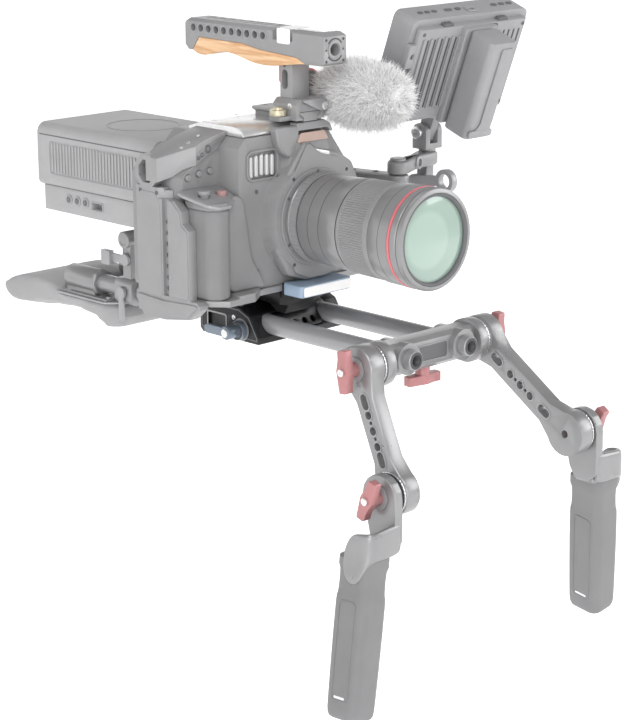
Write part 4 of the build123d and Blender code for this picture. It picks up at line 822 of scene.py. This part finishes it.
under = []
for k in range(25):
    a = math.pi * k / 24
    under.append((max(10.6, 22.5 * math.sin(a)), 60 - 43.5 * math.cos(a)))
under = [(11.4, 18.5)] + under[2:-1] + [(0.0, 103.6), (0.0, 90), (10.6, 88), (10.6, 18.5)]
# painted shade: the skin and the short strands under the long fur are given the darker fur_deep tone
cover = lathe("fur_skin", under, MIC, FORWARD, "windscreen", "fur_deep", 64)
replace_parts(cover, "windscreen")
fur("fur_long", 5200, 12.5, "fur", 0.36)
fur("fur_short", 2600, 8.5, "fur_deep", 0.42)
lathe("shock_ring_a", [(12.9, 0), (14.6, 0), (14.6, 5), (12.9, 5)], (41, 1.5, 190), (0, 1, 0), "mic",
    "red_soft", 40)
plate("shock_clip", [rounded(0, 0, 9, 16, 2)], plane((20, 4, 203), (0, -1, 0), (0, 0, 1)), 5.0, "mic",
    "red_soft", 0.8)

# ---------------------------------------------------------------- monitor
TILT = math.radians(20.5)
UP = Vector((0, -math.sin(TILT), math.cos(TILT)))
BACK = Vector((0, -math.cos(TILT), -math.sin(TILT)))
HUB = Vector((137, -38, 148))


def on_back(depth):
    """Drawing plane on the monitor's back, this far behind the tilt screw's centre."""
    return plane(HUB + BACK * depth, (1, 0, 0), UP)


for k in range(6):
    plate("back_rib_%d" % k, [soften([(-57.5 + 8 * k, 33), (-54 + 8 * k, 33), (-54 + 8 * k, 95),
        (-57.5 + 8 * k, 95)], 1.2)], on_back(17), 1.5, "monitor", "monitor_grey", 0.4)
    # painted shade: a dark strip in each gap between the back ribs
    plate("back_gap_shade_%d" % k, [rounded(-51.7 + 8 * k, 64, 1.6, 60, 0.7)], on_back(17), 0.25, "monitor",
        "darker", 0.08)
plate("side_block", [rounded(-63, 80, 12, 20, 2.5), ring(-63, 80, 2.2, 24)[::-1]], on_back(11), 5, "monitor",
    "monitor_grey", 0.8)
# painted shade: dark strips standing for the slots on the monitor's back
for k in range(5):
    plate("right_slot_%d" % k, [rounded(31 + 6 * k, 64, 1.5, 62, 0.7)], on_back(17), 0.3, "monitor", "darker",
        0.08)
for k, x in enumerate((-30, 34)):
    plate("back_tab_%d" % k, [rounded(x, 103.5, 11, 3.6, 1.6)], on_back(11), 4.6, "monitor", "dark", 0.6)
# painted shade: a dark block standing for the notch
plate("shoe_notch_shade", [rounded(23.5, 96, 5, 12, 1)], on_back(17), 1.2, "monitor", "dark", 0.3)
plate("pack_panel", [soften([(-6, 20), (13.5, 20), (14.5, 30), (14.5, 96), (1, 96), (1, 30)], 2)],
    on_back(48.4), 1.4, "monitor", "monitor_grey", 0.6)
plate("pack_lip", [rounded(3.5, 22, 27, 6, 2)], on_back(48.4), 2.0, "monitor", "monitor_grey", 0.8)
top = plane(HUB + UP * 109, (1, 0, 0), -BACK)
for k, (x, wide) in enumerate(((-50, 5), (-42, 5), (-34, 5), (-18, 8), (-7, 6), (36, 6), (45, 6), (54, 6))):
    plate("top_key_%d" % k, [rounded(x, 0, wide, 3.4, 1.4)], top, 0.8, "monitor", "dark", 0.3)
plate("top_lock", [rounded(6, -3, 12, 8, 2), rounded(6, -3, 5, 3, 1)[::-1]], top, 1.0, "monitor",
    "lever_steel", 0.4)
screws("monitor_screw", [HUB + BACK * 17 + Vector((x, 0, 0)) + UP * z for z in (29, 99) for x in (-58, 58)],
    BACK, 1.6, "monitor", "dark", 0.5)


def link_look():
    """The monitor arm's link: waisted bar with a bore at each end and a lug for the ring lever."""
    start = Vector((88, -52))
    along = Vector((49, 14))
    across = Vector((-along.y, along.x)).normalized()
    turn = math.degrees(math.atan2(along.y, along.x))
    steps = [k / 16 for k in range(1, 16)]
    waist = [5.2 + 3.3 * (0.5 + 0.5 * math.cos(2 * math.pi * t)) for t in steps]
    outline = arc(137, -38, 8.5, [turn + a for a in range(-90, 91, 10)])
    outline += [tuple(start + along * t + across * w) for t, w in zip(steps[::-1], waist[::-1])]
    outline += arc(88, -52, 8.5, [turn + a for a in range(90, 271, 10)])
    outline += [tuple(start + along * t - across * w) for t, w in zip(steps, waist)]
    bar = plate("link_look", [outline, ring(88, -52, 4.2, 32)[::-1], ring(137, -38, 4.2, 32)[::-1]],
        above(120.4), 11, "arm_link", "cage_grey", 2.4)
    lug = [(-41.5, 122), (-41.5, 107)] + arc(-36, 107, 5.5, range(200, 341, 14)) + [(-30.5, 107), (-30.5, 122)]
    plate("link_lug", [lug, ring(-36, 107, 2.3, 24)[::-1]], left(132.5), 9, "arm_link", "cage_grey", 1.0)
    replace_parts(bar, "arm_link")


link_look()
screw("tilt_cap", (124.5, -38, 148), RIGHT, 5.2, "swivel_post", "bright", 2.0)
lathe("post_ring", [(4.7, 0), (7.4, 0), (7.4, 2.2), (6.6, 2.8), (4.7, 2.8)], (137, -38, 135.2), (0, 0, 1),
    "swivel_post", "cage_grey", 48)
lathe("link_cap", [(0, 0), (6.4, 0), (6.4, 1.4), (5.4, 2.0), (0, 2.0)], (88, -52, 131.5), (0, 0, 1),
    "arm_link", "lever_steel", 48)
lathe("link_eye", [(3.2, 0), (5.4, 0), (5.4, 1.2), (4.6, 1.6), (3.2, 1.6)], (113.9, -50.2, 126),
    (0.27, -0.96, 0), "arm_link", "lever_steel", 40)
lathe("base_boss", [(5, 0), (9.4, 0), (9.4, 2.4), (8.2, 3.4), (5, 3.4)], (88, -52, 108), (0, 0, -1), "camera",
    "cage_grey", 48)
screws("base_bolt", [(79, -10, 120), (85, -30, 120)], UPWARD, 2.4, "camera", "lever_steel", 0.8)

# ---------------------------------------------------------------- battery
BATTERY_SIDE = right(-50.9)
for k in range(29):
    plate("battery_rib_%d" % k, [rounded(-(160 - 56 + 4 * k), 118, 1.9, 25, 0.8)], BATTERY_SIDE, 0.9,
        "battery", "battery_grey", 0.3)
for side in (-1, 1):
    plate("battery_line_%d" % side, [rounded(0, 0, 144, 1.0, 0.45)], plane((side * 52, 160, 136.6),
        (0, side, 0), (0, 0, 1)), 0.18, "battery", "dark", 0.06)
plate("battery_oval", [ring(0, 158, 31, 72), ring(0, 158, 29.6, 72)[::-1]], above(146), 0.5, "battery",
    "battery_grey", 0.2)
panel = [rounded(0, 118, 84, 34, 5), rounded(0, 118, 81, 31, 4)[::-1]]
plate("battery_front", panel, front(85), 0.5, "battery", "battery_grey", 0.2)
plate("battery_back", panel, rear(235), 0.5, "battery", "battery_grey", 0.2)
screws("charge_light", [(8 * k, 235, 128) for k in range(-2, 3)], (0, 1, 0), 1.5, "battery", "white", 0.4,
    socket=False)
for k, y in enumerate((199, 188, 177)):
    lathe("socket_rim_%d" % k, [(2.7, 0), (4.1, 0), (4.1, 0.6), (3.6, 0.9), (2.7, 0.9)], (-48, y, 84),
        RIGHT, "battery_plate", "lever_steel", 32)
plate("port_rim", [rounded(-162, 82.5, 15.6, 8.1, 1.2), rounded(-162, 82.5, 13.4, 5.9, 0.6)[::-1]],
    right(-48), 0.5, "battery_plate", "lever_steel", 0.2)
plate("adapter_latch", [rounded(0, 82, 22, 9, 2)], front(92), 2.0, "battery_plate", "clamp_grey", 0.6)
for side in (-1, 1):
    lathe("tube_cap_%d" % side, [(0, 0), (4, 0), (4.6, 0.5), (6.2, 0.5), (6.9, 0), (6.9, -1.4), (0, -1.4)],
        (side * 40.1, 139, 57), (side, 0, 0), "rear_clamp", "clamp_grey", 48)
    lathe("pad_collar_%d" % side, [(7.8, 0), (11.6, 0), (11.6, 2.4), (10.9, 3.0), (7.8, 3.0)],
        (side * 30, 182, 13), FORWARD, "shoulder_pad", "clamp_grey", 8)

# ---------------------------------------------------------------- shoulder pad
def pad_look():
    """The foam pad: the CAD form rebuilt in small faces, puffed up as cloth under light pressure."""
    source = nodes["shoulder_pad"].data.copy()
    piece = linked("pad_look", source)
    remesh = piece.modifiers.new("grid", "REMESH")
    remesh.mode = "VOXEL"
    remesh.voxel_size = 0.004
    apply(piece)
    before = [v.co.copy() for v in piece.data.vertices]
    cloth = piece.modifiers.new("cloth", "CLOTH")
    cloth.settings.use_pressure = True
    cloth.settings.uniform_pressure_force = 4
    cloth.settings.effector_weights.gravity = 0
    cloth.settings.tension_stiffness = 25
    cloth.settings.compression_stiffness = 25
    cloth.point_cache.frame_start = 1
    cloth.point_cache.frame_end = 20
    scene = bpy.context.scene
    for step in range(1, 21):
        scene.frame_set(step)
    graph = bpy.context.evaluated_depsgraph_get()
    mesh = bpy.data.meshes.new_from_object(piece.evaluated_get(graph))
    scene.frame_set(1)
    piece.modifiers.clear()
    for vertex, start in zip(mesh.vertices, before):
        move = vertex.co - start
        move *= 0.05 if start.z > -0.003 and start.y < 0.226 else 0.5
        reach = 0.005
        if move.length > reach:
            move *= reach / move.length
        vertex.co = start + move
    piece.data = mesh
    smooth = piece.modifiers.new("smooth", "SUBSURF")
    smooth.levels = smooth.render_levels = 1
    apply(piece)
    for face in piece.data.polygons:
        face.use_smooth = True
    paint(piece.data, "pad_soft")
    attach(piece, "shoulder_pad")
    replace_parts(piece, "shoulder_pad")


pad_look()
for k, y in enumerate((172, 186, 200, 214)):
    plate("pad_slot_%d" % k, [slot_loop(0, y, 29, 8.6), slot_loop(0, y, 26.4, 6.2)[::-1]], above(2.55), 0.4,
        "shoulder_pad", "bright", 0.12)
trim = [(-44, 162), (-31.5, 149.5), (31.5, 149.5), (44, 162), (44, 226), (36, 233), (-36, 233), (-44, 226)]
windows = [rounded(side * 40, 168 + 8.4 * k, 4.4, 5.4, 1.6)[::-1] for side in (-1, 1) for k in range(7)]
plate("pad_trim", [trim] + windows, above(-1.3), 2.0, "shoulder_pad", "lever_steel", 0.4)
screws("pad_screw", [(x, y, 2.6) for y in (166, 217) for x in (-36, 36)], UPWARD, 2.4, "shoulder_pad", "bright",
    0.8)


# ---------------------------------------------------------------- stage, lights and camera
def area(name, place, aim, size, power, colour=(1, 1, 1)):
    light = bpy.data.lights.new(name, "AREA")
    light.energy = power
    light.color = colour
    light.shape = "RECTANGLE"
    light.size, light.size_y = size
    lamp = linked(name, light)
    lamp.location = place
    lamp.rotation_mode = "QUATERNION"
    lamp.rotation_quaternion = (Vector(aim) - Vector(place)).to_track_quat("-Z", "Y")
    return lamp


floor_mesh = bpy.data.meshes.new("floor")
cove = [(0.5, -0.42), (11, -0.42), (12, -0.3), (12.6, 0.1), (12.8, 0.8), (12.8, 5)]
floor_mesh.from_pydata([(r * math.cos(math.radians(7.5 * k)), r * math.sin(math.radians(7.5 * k)), z) for r, z
    in cove for k in range(48)], [], [(48 * j + k, 48 * j + (k + 1) % 48, 48 * j + 48 + (k + 1) % 48, 48 * j +
    48 + k) for j in range(len(cove) - 1) for k in range(48)] + [tuple(range(48))[::-1]])
for face in floor_mesh.polygons:
    face.use_smooth = True
floor = linked("floor", floor_mesh)
floor_mesh.materials.append(finish("floor_white", tone(250, 250, 250), 0.8, bump=0.02, spread=0.004,
    mottle=2))
fill(floor_mesh.materials[0].node_tree.nodes["Principled BSDF"], {"Emission Color": (1, 1, 1, 1),
    "Emission Strength": 0.52})

world = bpy.data.worlds.new("studio")
bpy.context.scene.world = world
world.use_nodes = True
fill(world.node_tree.nodes["Background"], {"Color": (1, 1, 1, 1), "Strength": 0.42})
area("key", (-1.6, -1.6, 2.2), (0, 0, 0.1), (1.3, 1.3), 36)
area("side", (1.8, -1.4, 0.9), (0, 0, 0.1), (1.2, 1.6), 17)
area("fill", (-1.9, -1.7, 0.1), (0, 0, 0.05), (1.2, 1.0), 9)
area("top", (0.2, 0.8, 2.4), (0, 0, 0.1), (1.6, 1.2), 6)

bpy.context.scene.view_settings.view_transform = "Standard"
AZIMUTH, ELEVATION = math.radians(-45.24), math.radians(14.87)
camera_data = bpy.data.cameras.new("camera")
camera_data.sensor_width = 36
camera_data.lens = 112.2
camera_data.shift_x, camera_data.shift_y = -0.0649, -0.0097
camera_data.clip_start, camera_data.clip_end = 0.05, 60
camera = linked("camera", camera_data)
back = Vector((math.sin(AZIMUTH) * math.cos(ELEVATION), -math.cos(AZIMUTH) * math.cos(ELEVATION),
    math.sin(ELEVATION)))
camera.location = (-1.19037, -1.2790, 0.44245)
camera.rotation_mode = "QUATERNION"
camera.rotation_quaternion = (-back).to_track_quat("-Z", "Y")
bpy.context.scene.camera = camera
